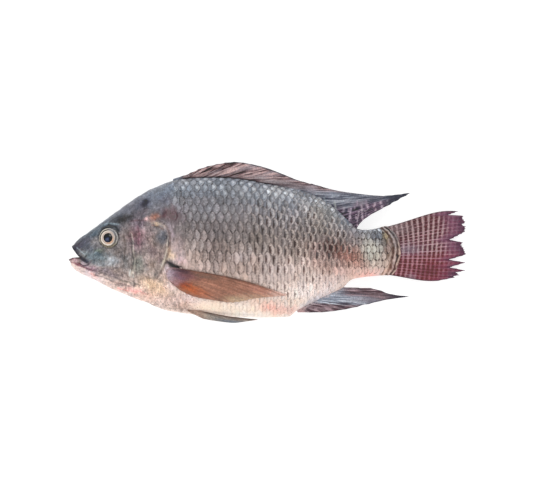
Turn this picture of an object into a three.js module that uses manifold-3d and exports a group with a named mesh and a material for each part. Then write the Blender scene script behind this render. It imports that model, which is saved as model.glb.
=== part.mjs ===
// A whole raw fish, a deep-bodied tilapia kind, lying on its right side with its left flank up.
// Millimetres. +X runs from snout to tail, +Y to the back fin, +Z up out of the left flank.
// The origin is the centre of the fish's outline, on the surface that it lies on.
//
// Outlines are points [along, up] in hundredths of the total length: along is measured from the
// tip of the lower jaw, up from the middle of the fish's height, as seen from its left side.

import * as THREE from 'three';
import { mergeVertices } from 'three/addons/utils/BufferGeometryUtils.js';
import Module from 'manifold-3d';

// ---- Driving dimensions ----------------------------------------------------------------------

const TOTAL_LENGTH = 300;        // lower jaw to tail tips
const MIDPLANE_HEIGHT = 21;      // the fish's middle plane above the table, at the belly
const TAIL_SAG = 19;             // how far the middle plane has sunk at the tail tips
const SNOUT_SAG = 2.5;           // and at the snout
const EYE_RADIUS = 7;            // the eye's round edge
const EYE_BULGE = 4.6;           // half of the eyeball's depth
const EYE_PROUD = 2.1;           // how far the eyeball stands out of the head
const EYE_YAW = 0.3;             // how far the eye looks towards the snout, in radians
const EYE_PITCH = 0.12;          // and towards the back
const HEAD_SHARE_AT_EYE = 0.93;  // the head's half thickness there, beside that at the flank line
const FIN_ROOT_DEPTH = 3;        // how far a fin's root is set into the body
const FIN_CLEARANCE = 1.1;       // from the skin to the middle of a fin folded along the flank
const FIN_RISE = 0.14;           // share of a folded fin's reach over which it leaves the skin
const SEAM = 0.3;                // gap between neighbouring pieces
const GILL_COVER_STEP = 0.9;     // how far the gill cover stands proud behind the cheek

const UNIT = TOTAL_LENGTH / 100;

// ---- Outlines, in hundredths of the length ---------------------------------------------------

// Upper jaw tip, forehead, back and tail stalk.
const BACK_LINE = [
  [0.8, -1.2], [2, 0.4], [4.3, 2.1], [7.3, 4.2], [13.3, 8.7], [19.4, 12.7], [25.9, 15.4],
  [30.4, 16], [35.9, 16.2], [42, 15.9], [48, 14.9], [58.5, 12.9], [62.6, 11.4], [66.1, 9.1],
  [69.4, 6.2], [72.1, 3.6], [74.6, 3.1], [77.6, 3.4], [82.4, 4.1],
];
// Lower jaw tip, chin, chest, belly, vent and tail stalk.
const BELLY_LINE = [
  [0, -4.2], [0.9, -6.2], [2.8, -7.7], [5.8, -9.1], [11.8, -12.1], [19.4, -15.1], [23.4, -16.8],
  [27.4, -17.6], [32.9, -18.3], [39.2, -18.7], [54.8, -18.7], [56.8, -17.4], [63.6, -13.8],
  [70.6, -9.7], [73.1, -8.9], [76.9, -8.5], [82.4, -8.2],
];
// Where the body is widest: the mouth's corner, then along the flank.
const FLANK_LINE = [[3.3, -4], [6.5, -2], [10.3, -0.7], [15, -0.2], [33, -0.7], [58, -2], [82.4, -2.2]];
// Half of the body's thickness along the flank line.
const HALF_THICKNESS = [
  [3.3, 2.7], [6.5, 4], [10, 5], [14, 6.1], [19, 7], [24, 7.45], [30.4, 7.6], [38, 7.6],
  [45.5, 7.35], [53, 6.65], [60.6, 5.5], [68, 4], [74.4, 2.8], [79.4, 1.9], [82.4, 1.3],
];
// Rear edge of the gill cover, as [up, along].
const GILL_EDGE = [
  [-11.5, 19.6], [-8.5, 22.1], [-5, 23.9], [-1.4, 24.9], [1.6, 25], [4.1, 24.1], [5.8, 22.4],
];

const MOUTH_POCKET_END = [9, -3.2];
const MOUTH_POCKET_RINGS = [0.12, 0.4, 0.75];  // their size beside the lips, from the end out
const HEAD_RINGS_END = 16;       // rings lean forward to the jaws as far as this, then stand upright
const BELLY_MIDDLE = 30;         // where the middle plane is highest
const LAST_LEVEL = 0.93;         // share of the way to the edge where a flank stops falling
const EYE_CENTRE = [9.95, 1.05];

const DORSAL_SPAN = [26, 72];
const DORSAL_EDGE = [
  [26.2, 15.9], [29.4, 17], [33.4, 18.7], [37.4, 19.7], [41.5, 20.2], [45.5, 19.7], [49.5, 18.7],
  [53.5, 17.2], [57.5, 15.6], [61.6, 14.6], [65.6, 13.4], [69.6, 12.6], [77.6, 11.7], [85.9, 12.4],
];
const DORSAL_REAR_EDGE = [[85.9, 12.4], [83.7, 11.1], [79.7, 8.9], [75.6, 6.9], [72.9, 4.9]];
const ANAL_SPAN = [57.2, 70.8];
const ANAL_EDGE = [[57.4, -17.6], [63.6, -17.6], [69.6, -16.6], [75.6, -15.4], [79.7, -14.5], [84, -13.7]];
const ANAL_REAR_EDGE = [[84, -13.7], [81.2, -12.7], [78.6, -11.9], [75.6, -11.3], [71.6, -11]];
const TAIL_ROOT = [[81, 3.6], [81.2, -2], [81, -7.8]];
const TAIL_EDGE = [[97.9, 7.8], [99.4, 5], [99.6, 0], [100, -5], [99.4, -7.8], [96, -9.3]];
const TAIL_LOBES = 7;
const TAIL_NOTCH = 2.2;
const PECTORAL_ROOT = [[24.3, -5.4], [24.1, -7.6], [24.3, -9.9]];
const PECTORAL_EDGE = [
  [54.8, -13.3], [50.3, -13.6], [44.9, -14.3], [41.1, -15.2], [36.7, -14.6], [31.3, -13.3], [27.8, -12],
];
const PELVIC_ROOT = [[33, -17.1], [31.4, -17.1], [29.8, -17.3]];
const PELVIC_EDGE = [[47.5, -19.4], [44.2, -19.9], [41.3, -20.2], [37.4, -19.8], [33.8, -19.2]];

// ---- Curves ----------------------------------------------------------------------------------

const mix = (a, b, share) => a + (b - a) * share;

function smoothStep(from, to, value) {
  const share = Math.min(Math.max((value - from) / (to - from), 0), 1);
  return share * share * (3 - 2 * share);
}

// A smooth function through the points: cubic pieces whose slopes come from the neighbours.
function lineThrough(points) {
  const slopes = points.map((point, i) => {
    const before = points[Math.max(i - 1, 0)];
    const after = points[Math.min(i + 1, points.length - 1)];
    return (after[1] - before[1]) / (after[0] - before[0]);
  });
  return (at) => {
    const inside = Math.min(Math.max(at, points[0][0]), points[points.length - 1][0]);
    let i = 0;
    while (i < points.length - 2 && inside > points[i + 1][0]) {
      i += 1;
    }
    const width = points[i + 1][0] - points[i][0];
    const t = (inside - points[i][0]) / width;
    const startShare = (1 + 2 * t) * (1 - t) * (1 - t);
    const bend = slopes[i] * t * (1 - t) * (1 - t) - slopes[i + 1] * t * t * (1 - t);
    return points[i][1] * startShare + points[i + 1][1] * (1 - startShare) + bend * width;
  };
}

// A path through one or more smooth stretches that meet at corners; t runs evenly along it.
function pathThrough(...stretches) {
  const path = new THREE.CurvePath();
  for (const points of stretches) {
    path.add(new THREE.SplineCurve(points.map(([along, up]) => new THREE.Vector2(along, up))));
  }
  return (t) => path.getPoint(t);
}

const backLine = lineThrough(BACK_LINE);
const bellyLine = lineThrough(BELLY_LINE);
const flankLine = lineThrough(FLANK_LINE);
const halfThickness = lineThrough(HALF_THICKNESS);
const gillEdge = lineThrough(GILL_EDGE);

// Height of the middle plane, in millimetres: the fish droops towards both ends.
function midplane(along) {
  const behind = along > BELLY_MIDDLE;
  const reach = behind ? (along - BELLY_MIDDLE) / (100 - BELLY_MIDDLE) : along / BELLY_MIDDLE - 1;
  return MIDPLANE_HEIGHT - (behind ? TAIL_SAG : SNOUT_SAG) * reach * reach;
}

// A place on the fish in millimetres, from its outline place and its height over the middle plane.
// Nothing goes below the table, so the underside is flat where the fish rests.
function place(along, up, height, table = 0) {
  const z = Math.max(midplane(along) + height, table);
  return [(along - 50) * UNIT, up * UNIT, z];
}

// ---- The body --------------------------------------------------------------------------------

// One ring round the body. share is 0 at the lips and 1 where the rings stand upright.
function ringAt(share, along) {
  const top = mix(BACK_LINE[0][0], along, share);
  const side = mix(FLANK_LINE[0][0], along, share);
  const bottom = mix(BELLY_LINE[0][0], along, share);
  return {
    share,
    top: [top, backLine(top)],
    side: [side, flankLine(side)],
    bottom: [bottom, bellyLine(bottom)],
    half: halfThickness(side),
  };
}

// The gill cover is a plate that ends in a low step just behind its edge line.
function gillCoverLift(along, up) {
  const edge = gillEdge(up);
  const cover = smoothStep(edge + 0.6, edge - 0.6, along) * smoothStep(8, 18, along);
  return GILL_COVER_STEP * cover * smoothStep(7.5, 4, up) * smoothStep(-13, -10, up);
}

function ringPoint(ring, angle) {
  const rise = Math.cos(angle);
  const out = Math.sin(angle);
  const end = rise > 0 ? ring.top : ring.bottom;
  const lean = Math.abs(rise) ** 2;
  const level = Math.abs(rise) ** mix(1.6, 1, Math.sqrt(ring.share));
  const along = mix(ring.side[0], end[0], lean);
  const up = mix(ring.side[1], end[1], level);
  const height = ring.half * UNIT + gillCoverLift(along, up);
  return [along, up, height * out];
}

// Height of the flank over the middle plane, in millimetres, behind the head. Near the back and
// the belly it stops falling, so that what lies along the flank runs straight on past the edge.
function flankHeight(along, up) {
  const side = flankLine(along);
  const end = up > side ? backLine(along) : bellyLine(along);
  const level = Math.min(Math.abs((up - side) / (end - side)), LAST_LEVEL);
  return halfThickness(along) * UNIT * Math.sqrt(1 - level * level);
}

function bodyGeometry() {
  const around = 40;
  const headRings = 13;
  const trunkRings = 26;
  const rings = [];
  const [pocketAlong, pocketUp] = MOUTH_POCKET_END;
  const ringPoints = (ring, size = 1) => {
    const points = [];
    for (let k = 0; k < around; k += 1) {
      const [along, up, height] = ringPoint(ring, (k / around) * 2 * Math.PI);
      points.push(place(mix(pocketAlong, along, size), mix(pocketUp, up, size), height * size));
    }
    return points;
  };
  for (const size of MOUTH_POCKET_RINGS) {
    rings.push(ringPoints(ringAt(0, HEAD_RINGS_END), size));
  }
  for (let i = 0; i < headRings; i += 1) {
    rings.push(ringPoints(ringAt((i / headRings) ** 1.25, HEAD_RINGS_END)));
  }
  const stalkEnd = BACK_LINE[BACK_LINE.length - 1][0];
  for (let i = 0; i <= trunkRings; i += 1) {
    rings.push(ringPoints(ringAt(1, mix(HEAD_RINGS_END, stalkEnd, i / trunkRings))));
  }
  const positions = rings.flat(2);
  const triangles = [];
  for (let i = 0; i < rings.length - 1; i += 1) {
    for (let k = 0; k < around; k += 1) {
      const a = i * around + k;
      const b = i * around + ((k + 1) % around);
      triangles.push(a, b, a + around, b, b + around, a + around);
    }
  }
  const pocketTip = positions.length / 3;
  const stalkTip = pocketTip + 1;
  const stalkMiddle = (backLine(stalkEnd) + bellyLine(stalkEnd)) / 2;
  positions.push(...place(pocketAlong, pocketUp, 0));
  positions.push(...place(stalkEnd + 0.3, stalkMiddle, 0));
  const last = (rings.length - 1) * around;
  for (let k = 0; k < around; k += 1) {
    const next = (k + 1) % around;
    triangles.push(pocketTip, next, k, stalkTip, last + k, last + next);
  }
  return geometryFrom(positions, triangles);
}

// ---- The eyes --------------------------------------------------------------------------------

// side is 1 for the left eye, on top, and -1 for the right one, underneath.
function eyeGeometry(side, grow = 0) {
  const [along, up] = EYE_CENTRE;
  const geometry = new THREE.SphereGeometry(1, 16, 10);
  geometry.scale(EYE_RADIUS + grow, EYE_RADIUS + grow, EYE_BULGE + grow);
  geometry.rotateY(-side * EYE_YAW);
  geometry.rotateX(-side * EYE_PITCH);
  const headSide = halfThickness(along) * UNIT * HEAD_SHARE_AT_EYE;
  const depth = headSide + EYE_PROUD - EYE_BULGE;
  geometry.translate(...place(along, up, side * depth));
  return pointsOnly(geometry);
}

// ---- The fins --------------------------------------------------------------------------------

// A thin slab between a root and an outer edge, both paths [along, up] of t from 0 to 1.
// height(along, up, reach) is its middle over the middle plane, reach being 0 at the root.
// A grown slab is thicker and has a rim of extra cells, so it clears the plain one all round.
function finGeometry(fin, grow = 0) {
  const { root, edge, height, columns, rows, rootThickness, edgeThickness } = fin;
  const rim = grow > 0 ? 1 : 0;
  const corner = (i, j, face) => {
    const column = Math.min(Math.max(i, 0), columns);
    const row = Math.min(Math.max(j, 0), rows);
    const start = root(column / columns);
    const finish = edge(column / columns);
    const point = start.clone().lerp(finish, row / rows);
    const half = mix(rootThickness, edgeThickness, row / rows) / 2;
    const middle = Math.max(height(point.x, point.y, row / rows), half - midplane(point.x));
    const outwards = finish.clone().sub(start).normalize();
    const beside = root(column === 0 ? 1 / columns : (column - 1) / columns);
    const sideways = start.clone().sub(beside).normalize();
    point.addScaledVector(outwards, ((j - row) * grow) / UNIT);
    point.addScaledVector(sideways, (Math.abs(i - column) * grow) / UNIT);
    return place(point.x, point.y, middle + face * (half + grow), -grow);
  };
  const positions = [];
  for (const face of [1, -1]) {
    for (let i = -rim; i <= columns + rim; i += 1) {
      for (let j = -rim; j <= rows + rim; j += 1) {
        positions.push(...corner(i, j, face));
      }
    }
  }
  const across = columns + 2 * rim;
  const outer = rows + 2 * rim;
  const stride = outer + 1;
  const below = (across + 1) * stride;
  const triangles = [];
  const quad = (a, b, c, d) => triangles.push(a, b, c, a, c, d);
  for (let i = 0; i < across; i += 1) {
    const start = i * stride;
    for (let a = start; a < start + outer; a += 1) {
      quad(a, a + 1, a + stride + 1, a + stride);
      quad(below + a, below + a + stride, below + a + stride + 1, below + a + 1);
    }
    const finish = start + outer;
    quad(start, start + stride, below + start + stride, below + start);
    quad(finish, below + finish, below + finish + stride, finish + stride);
  }
  for (let j = 0; j < outer; j += 1) {
    const last = across * stride + j;
    quad(j, below + j, below + j + 1, j + 1);
    quad(last, last + 1, below + last + 1, below + last);
  }
  return outward(geometryFrom(positions, triangles));
}

// A root that follows the body's outline, set FIN_ROOT_DEPTH into it.
function rootAlong(outline, [from, to], inward) {
  const depth = (inward * FIN_ROOT_DEPTH) / UNIT;
  return (t) => {
    const along = mix(from, to, t);
    return new THREE.Vector2(along, outline(along) + depth);
  };
}

// The tail's rear edge is worn into pointed lobes.
function tailEdge(t) {
  const point = pathThrough(TAIL_EDGE)(t);
  const notch = 1 - Math.abs(Math.cos(Math.PI * TAIL_LOBES * t));
  point.x -= TAIL_NOTCH * notch * smoothStep(0, 0.04, t) * smoothStep(1, 0.9, t);
  return point;
}

// A fin folded back along a flank: its root dips into the body, the rest lies just off the skin.
function alongFlank(side) {
  return (along, up, reach) => {
    const offSkin = mix(-FIN_ROOT_DEPTH, FIN_CLEARANCE, smoothStep(0, FIN_RISE, reach));
    return side * (flankHeight(along, up) + offSkin);
  };
}

const inMidplane = () => 0;

function finsOf() {
  const dorsal = {
    root: rootAlong(backLine, DORSAL_SPAN, -1),
    edge: pathThrough(DORSAL_EDGE, DORSAL_REAR_EDGE),
    height: inMidplane,
    columns: 30,
    rows: 4,
    rootThickness: 2.4,
    edgeThickness: 1,
  };
  const anal = {
    root: rootAlong(bellyLine, ANAL_SPAN, 1),
    edge: pathThrough(ANAL_EDGE, ANAL_REAR_EDGE),
    height: inMidplane,
    columns: 12,
    rows: 3,
    rootThickness: 2.2,
    edgeThickness: 1,
  };
  const tail = {
    root: pathThrough(TAIL_ROOT),
    edge: tailEdge,
    height: inMidplane,
    columns: TAIL_LOBES * 4,
    rows: 5,
    rootThickness: 2.4,
    edgeThickness: 1,
  };
  const pectoral = (side) => ({
    root: pathThrough(PECTORAL_ROOT),
    edge: pathThrough(PECTORAL_EDGE),
    height: alongFlank(side),
    columns: 8,
    rows: 10,
    rootThickness: 1.8,
    edgeThickness: 0.9,
  });
  const pelvic = (side) => ({
    root: pathThrough(PELVIC_ROOT),
    edge: pathThrough(PELVIC_EDGE),
    height: alongFlank(side),
    columns: 6,
    rows: 6,
    rootThickness: 1.6,
    edgeThickness: 0.9,
  });
  return {
    dorsal_fin: dorsal,
    anal_fin: anal,
    tail_fin: tail,
    pectoral_fin_left: pectoral(1),
    pectoral_fin_right: pectoral(-1),
    pelvic_fin_left: pelvic(1),
    pelvic_fin_right: pelvic(-1),
  };
}

// ---- Solids ----------------------------------------------------------------------------------

const wasm = await Module();
wasm.setup();

function geometryFrom(positions, triangles) {
  const geometry = new THREE.BufferGeometry();
  geometry.setAttribute('position', new THREE.Float32BufferAttribute(positions, 3));
  geometry.setIndex(triangles);
  return geometry;
}

function pointsOnly(geometry) {
  geometry.deleteAttribute('normal');
  geometry.deleteAttribute('uv');
  return mergeVertices(geometry, 1e-4);
}

// Turns every face round if the closed surface encloses a negative volume.
function outward(geometry) {
  const point = geometry.getAttribute('position');
  const index = geometry.getIndex();
  const corner = (k) => new THREE.Vector3().fromBufferAttribute(point, index.getX(k));
  let volume = 0;
  for (let k = 0; k < index.count; k += 3) {
    volume += corner(k).dot(corner(k + 1).cross(corner(k + 2)));
  }
  if (volume < 0) {
    geometry.setIndex(Array.from(index.array).reverse());
  }
  return geometry;
}

function solidOf(geometry) {
  const vertProperties = new Float32Array(geometry.getAttribute('position').array);
  const triVerts = new Uint32Array(geometry.getIndex().array);
  return new wasm.Manifold(new wasm.Mesh({ numProp: 3, vertProperties, triVerts }));
}

function geometryOf(solid) {
  const { vertProperties, triVerts } = solid.getMesh();
  return geometryFrom(Array.from(vertProperties), Array.from(triVerts));
}

function bodyWithSeats(fins) {
  let body = solidOf(bodyGeometry());
  for (const side of [1, -1]) {
    body = body.subtract(solidOf(eyeGeometry(side, SEAM)));
  }
  for (const fin of Object.values(fins)) {
    body = body.subtract(solidOf(finGeometry(fin, SEAM)));
  }
  return geometryOf(body);
}

// ---- The fish --------------------------------------------------------------------------------

const SKIN = { color: 0x8c8381, roughness: 0.42, metalness: 0 };
const EYE = { color: 0x8f8b78, roughness: 0.12, metalness: 0 };
const FIN_COLOURS = {
  dorsal_fin: 0x6a5558,
  anal_fin: 0x6d6670,
  tail_fin: 0x77454e,
  pectoral_fin_left: 0x9b6548,
  pectoral_fin_right: 0x9b6548,
  pelvic_fin_left: 0x6f6b70,
  pelvic_fin_right: 0x6f6b70,
};

function piece(name, geometry, look) {
  const mesh = new THREE.Mesh(geometry, new THREE.MeshStandardMaterial(look));
  mesh.name = name;
  return mesh;
}

function fish() {
  const group = new THREE.Group();
  const fins = finsOf();
  group.add(piece('body', bodyWithSeats(fins), SKIN));
  group.add(piece('eye_left', eyeGeometry(1), EYE));
  group.add(piece('eye_right', eyeGeometry(-1), EYE));
  for (const [name, fin] of Object.entries(fins)) {
    const look = { color: FIN_COLOURS[name], roughness: 0.5, metalness: 0 };
    group.add(piece(name, finGeometry(fin), look));
  }
  return group;
}

export default fish();
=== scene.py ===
"""A whole raw fish of the deep-bodied tilapia kind, lying on its right side.

Outline places are [along, up] in hundredths of the fish's length: along from the lower jaw's tip,
up from the middle of its height, as seen from the left side. Heights over the fish's middle plane
and depths of relief are in millimetres. Colours are written as sRGB, 0 to 255.
"""

import bpy
import numpy as np
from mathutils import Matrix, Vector


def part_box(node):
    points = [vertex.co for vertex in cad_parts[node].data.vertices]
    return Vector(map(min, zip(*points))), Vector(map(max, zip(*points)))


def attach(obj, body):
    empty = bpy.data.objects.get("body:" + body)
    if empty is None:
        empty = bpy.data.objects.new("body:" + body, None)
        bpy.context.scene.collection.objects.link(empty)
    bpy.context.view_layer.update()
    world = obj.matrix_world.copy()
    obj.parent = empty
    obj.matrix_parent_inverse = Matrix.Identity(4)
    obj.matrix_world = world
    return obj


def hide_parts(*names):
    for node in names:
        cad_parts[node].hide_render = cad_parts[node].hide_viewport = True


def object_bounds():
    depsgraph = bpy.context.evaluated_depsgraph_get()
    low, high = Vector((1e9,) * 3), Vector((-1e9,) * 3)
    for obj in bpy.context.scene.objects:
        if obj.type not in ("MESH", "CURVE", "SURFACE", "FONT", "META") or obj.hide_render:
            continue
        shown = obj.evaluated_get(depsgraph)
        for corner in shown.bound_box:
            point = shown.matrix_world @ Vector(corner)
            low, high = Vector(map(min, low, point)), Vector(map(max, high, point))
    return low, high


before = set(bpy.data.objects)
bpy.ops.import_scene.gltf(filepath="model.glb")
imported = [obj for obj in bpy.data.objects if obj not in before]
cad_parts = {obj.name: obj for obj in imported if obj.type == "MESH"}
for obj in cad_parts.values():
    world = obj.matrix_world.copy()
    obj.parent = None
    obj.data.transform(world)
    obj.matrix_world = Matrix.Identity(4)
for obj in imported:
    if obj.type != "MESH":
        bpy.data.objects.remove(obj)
cad_low, cad_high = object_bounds()

# ---- Sizes -----------------------------------------------------------------------------------

MM = 0.001
UNIT = (cad_high[0] - cad_low[0]) / 100   # a hundredth of the fish's length, in metres
UNIT_MM = UNIT / MM
ORIGIN = 50                               # where the frame's origin lies along the fish
MIDPLANE_HEIGHT = 21                      # at its highest, in millimetres
TAIL_SAG = 19                             # how much lower the middle plane lies at the tail's end
SNOUT_SAG = 2.5                           # and at the snout
BELLY_MIDDLE = 30                         # where along the fish it's highest
PRESS_SOFTNESS = 0.3                      # how gradually the flank flattens on the table
GILL_COVER_STEP = 0.6

BACK_LINE = [
    [0.8, -1.2], [2, 0.4], [4.3, 2.1], [7.3, 4.2], [13.3, 8.7], [19.4, 12.7], [25.9, 15.4],
    [30.4, 16], [35.9, 16.2], [42, 15.9], [48, 14.9], [58.5, 12.9], [62.6, 11.4], [66.1, 9.1],
    [69.4, 6.2], [72.1, 3.6], [74.6, 3.1], [77.6, 3.4], [82.4, 4.1],
]
BELLY_LINE = [
    [0, -4.2], [0.9, -6.2], [2.8, -7.7], [5.8, -9.1], [11.8, -12.1], [19.4, -15.1], [23.4, -16.8],
    [27.4, -17.6], [32.9, -18.3], [39.2, -18.7], [54.8, -18.7], [56.8, -17.4], [63.6, -13.9],
    [69, -11.3], [70.3, -9.9], [71.3, -9.3], [73.1, -8.9], [76.9, -8.5], [82.4, -8.2],
]
FLANK_LINE = [[3.3, -4], [6.5, -2], [10.3, -0.7], [15, -0.2], [33, -0.7], [58, -2], [82.4, -2.2]]
HALF_THICKNESS = [
    [3.3, 2.7], [6.5, 4], [10, 5], [14, 6.1], [19, 7], [24, 7.45], [30.4, 7.6], [38, 7.6],
    [45.5, 7.35], [53, 6.65], [60.6, 5.5], [68, 4], [74.4, 2.8], [79.4, 1.6], [82.4, 0.8],
]
GILL_EDGE = [
    [-11.5, 19.6], [-8.5, 22.1], [-5, 23.9], [-1.4, 24.9], [1.6, 25], [4.1, 24.1], [5.8, 22.4],
]
TAIL_RING = [   # the curved rear end of the stalk, as [up, along]
    [-8.2, 81.6], [-6.8, 82.4], [-4.6, 83.1], [-2.2, 83.4], [0, 83.1], [1.9, 82.3], [3.3, 80.8],
    [4.2, 79.6],
]
MOUTH_POCKET_END = [9, -3.2]
HEAD_RINGS_END = 16
STALK_END = 82.4
EYE_CENTRE = [10.15, 1.12]
EYE_RADIUS = 7.3                          # millimetres
EYE_BULGE = 4.6
EYE_RIM_HEIGHT = 0.7                      # of the raised skin round the eye
SOCKET_DEPTH = 3.2
RING_CORNERS = 288                        # of each ring of the skin's grid


# ---- Curves and fields -----------------------------------------------------------------------

def mix(a, b, share):
    return a + (b - a) * share


def smooth_step(low, high, value):
    share = np.clip((value - low) / (high - low), 0, 1)
    return share * share * (3 - 2 * share)


def line_through(points):
    """A smooth function through the points: cubic pieces with slopes taken from the neighbours."""
    xs, ys = np.array(points, float).T
    slopes = np.gradient(ys, xs)
    slopes[1:-1] = (ys[2:] - ys[:-2]) / (xs[2:] - xs[:-2])

    def value(at):
        at = np.clip(at, xs[0], xs[-1])
        i = np.clip(np.searchsorted(xs, at, side="right") - 1, 0, len(xs) - 2)
        width = xs[i + 1] - xs[i]
        t = (at - xs[i]) / width
        start = (1 + 2 * t) * (1 - t) ** 2
        bend = slopes[i] * t * (1 - t) ** 2 - slopes[i + 1] * t**2 * (1 - t)
        return ys[i] * start + ys[i + 1] * (1 - start) + bend * width

    return value


def path_through(*stretches):
    """A path through smooth stretches that meet at corners; t from 0 to 1 runs evenly along it."""
    steps = 24
    samples = []
    for points in stretches:
        ends = np.array([points[0], *points, points[-1]], float)
        t = (np.arange(steps) / steps)[:, None]
        for a, b, c, d in zip(ends, ends[1:], ends[2:], ends[3:]):
            slope_b, slope_c = (c - a) / 2, (d - b) / 2
            samples.append(
                b + slope_b * t + (3 * (c - b) - 2 * slope_b - slope_c) * t**2
                + (2 * (b - c) + slope_b + slope_c) * t**3
            )
        samples.append(ends[-1:])
    samples = np.concatenate(samples)
    lengths = np.concatenate([[0], np.cumsum(np.hypot(*np.diff(samples, axis=0).T))])

    def value(t):
        at = np.asarray(t) * lengths[-1]
        return np.stack([np.interp(at, lengths, samples[:, k]) for k in (0, 1)], -1)

    return value


def patchy(a, b, size, seed):
    """A smooth random field from 0 to 1 whose patches are about size wide."""
    cells = 64
    lattice = np.random.default_rng(seed).random((cells, cells))
    a, b = np.asarray(a) / size, np.asarray(b) / size
    i, j = np.floor(a).astype(int), np.floor(b).astype(int)
    u, v = smooth_step(0, 1, a - i), smooth_step(0, 1, b - j)
    near = mix(lattice[i % cells, j % cells], lattice[(i + 1) % cells, j % cells], u)
    far = mix(lattice[i % cells, (j + 1) % cells], lattice[(i + 1) % cells, (j + 1) % cells], u)
    return mix(near, far, v)


def uneven(a, b, size, seed):
    """Patches of three sizes added up, about -1 to 1. The seed picks the pattern."""
    turned_a, turned_b = 0.8 * a + 0.6 * b, 0.8 * b - 0.6 * a
    large = patchy(a, b, size, seed) - 0.5
    middle = patchy(turned_a, turned_b, size / 2, seed + 1) - 0.5
    small = patchy(a, b, size / 4, seed + 2) - 0.5
    return 0.8 * large + 0.7 * middle + 0.5 * small


def distance_to(line, along, up):
    """Distance from each place to a line of straight stretches."""
    best = np.full(np.shape(along), np.inf)
    for (a0, u0), (a1, u1) in zip(line, line[1:]):
        da, du = a1 - a0, u1 - u0
        t = np.clip(((along - a0) * da + (up - u0) * du) / (da * da + du * du), 0, 1)
        best = np.minimum(best, np.hypot(along - a0 - t * da, up - u0 - t * du))
    return best


def bell(value, width):
    return np.exp(-((value / width) ** 2))


back_line = line_through(BACK_LINE)
belly_line = line_through(BELLY_LINE)
flank_line = line_through(FLANK_LINE)
half_thickness = line_through(HALF_THICKNESS)
gill_edge = line_through(GILL_EDGE)
tail_ring = line_through(TAIL_RING)


# ---- Colours ---------------------------------------------------------------------------------

WET_FILM = 0.035         # the light that the wet film itself reflects, as a share of white


def albedo(colour):
    """Linear base colour that looks like an sRGB one once it lies under the wet film."""
    c = np.clip(np.asarray(colour, float) / 255, 0, 1)
    linear = np.where(c <= 0.04045, c / 12.92, ((c + 0.055) / 1.055) ** 2.4)
    return np.clip((linear - WET_FILM) / (1 - WET_FILM), 0.006, 0.95)


def blot(colour, share, tint):
    return mix(colour, np.array(tint, float), np.clip(share, 0, 1)[..., None])


def shades(share, low, high):
    return mix(np.array(low, float), np.array(high, float), share[..., None])


def ramp(value, stops):
    """The colour at each value, between stops written as [value, colour]."""
    at = [stop for stop, _ in stops]
    return np.stack([np.interp(value, at, [colour[k] for _, colour in stops]) for k in range(3)], -1)


# The trunk from the belly (0) to the back (1), as [share of the depth, colour].
TRUNK_BANDS = [
    [0, (240, 220, 208)], [0.06, (248, 226, 211)], [0.13, (227, 203, 190)],
    [0.24, (202, 181, 172)], [0.35, (176, 156, 149)], [0.45, (159, 143, 138)],
    [0.55, (140, 129, 126)], [0.66, (125, 117, 117)], [0.78, (124, 121, 126)],
    [0.9, (118, 122, 130)], [0.96, (124, 129, 138)], [1, (120, 126, 136)],
]

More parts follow.
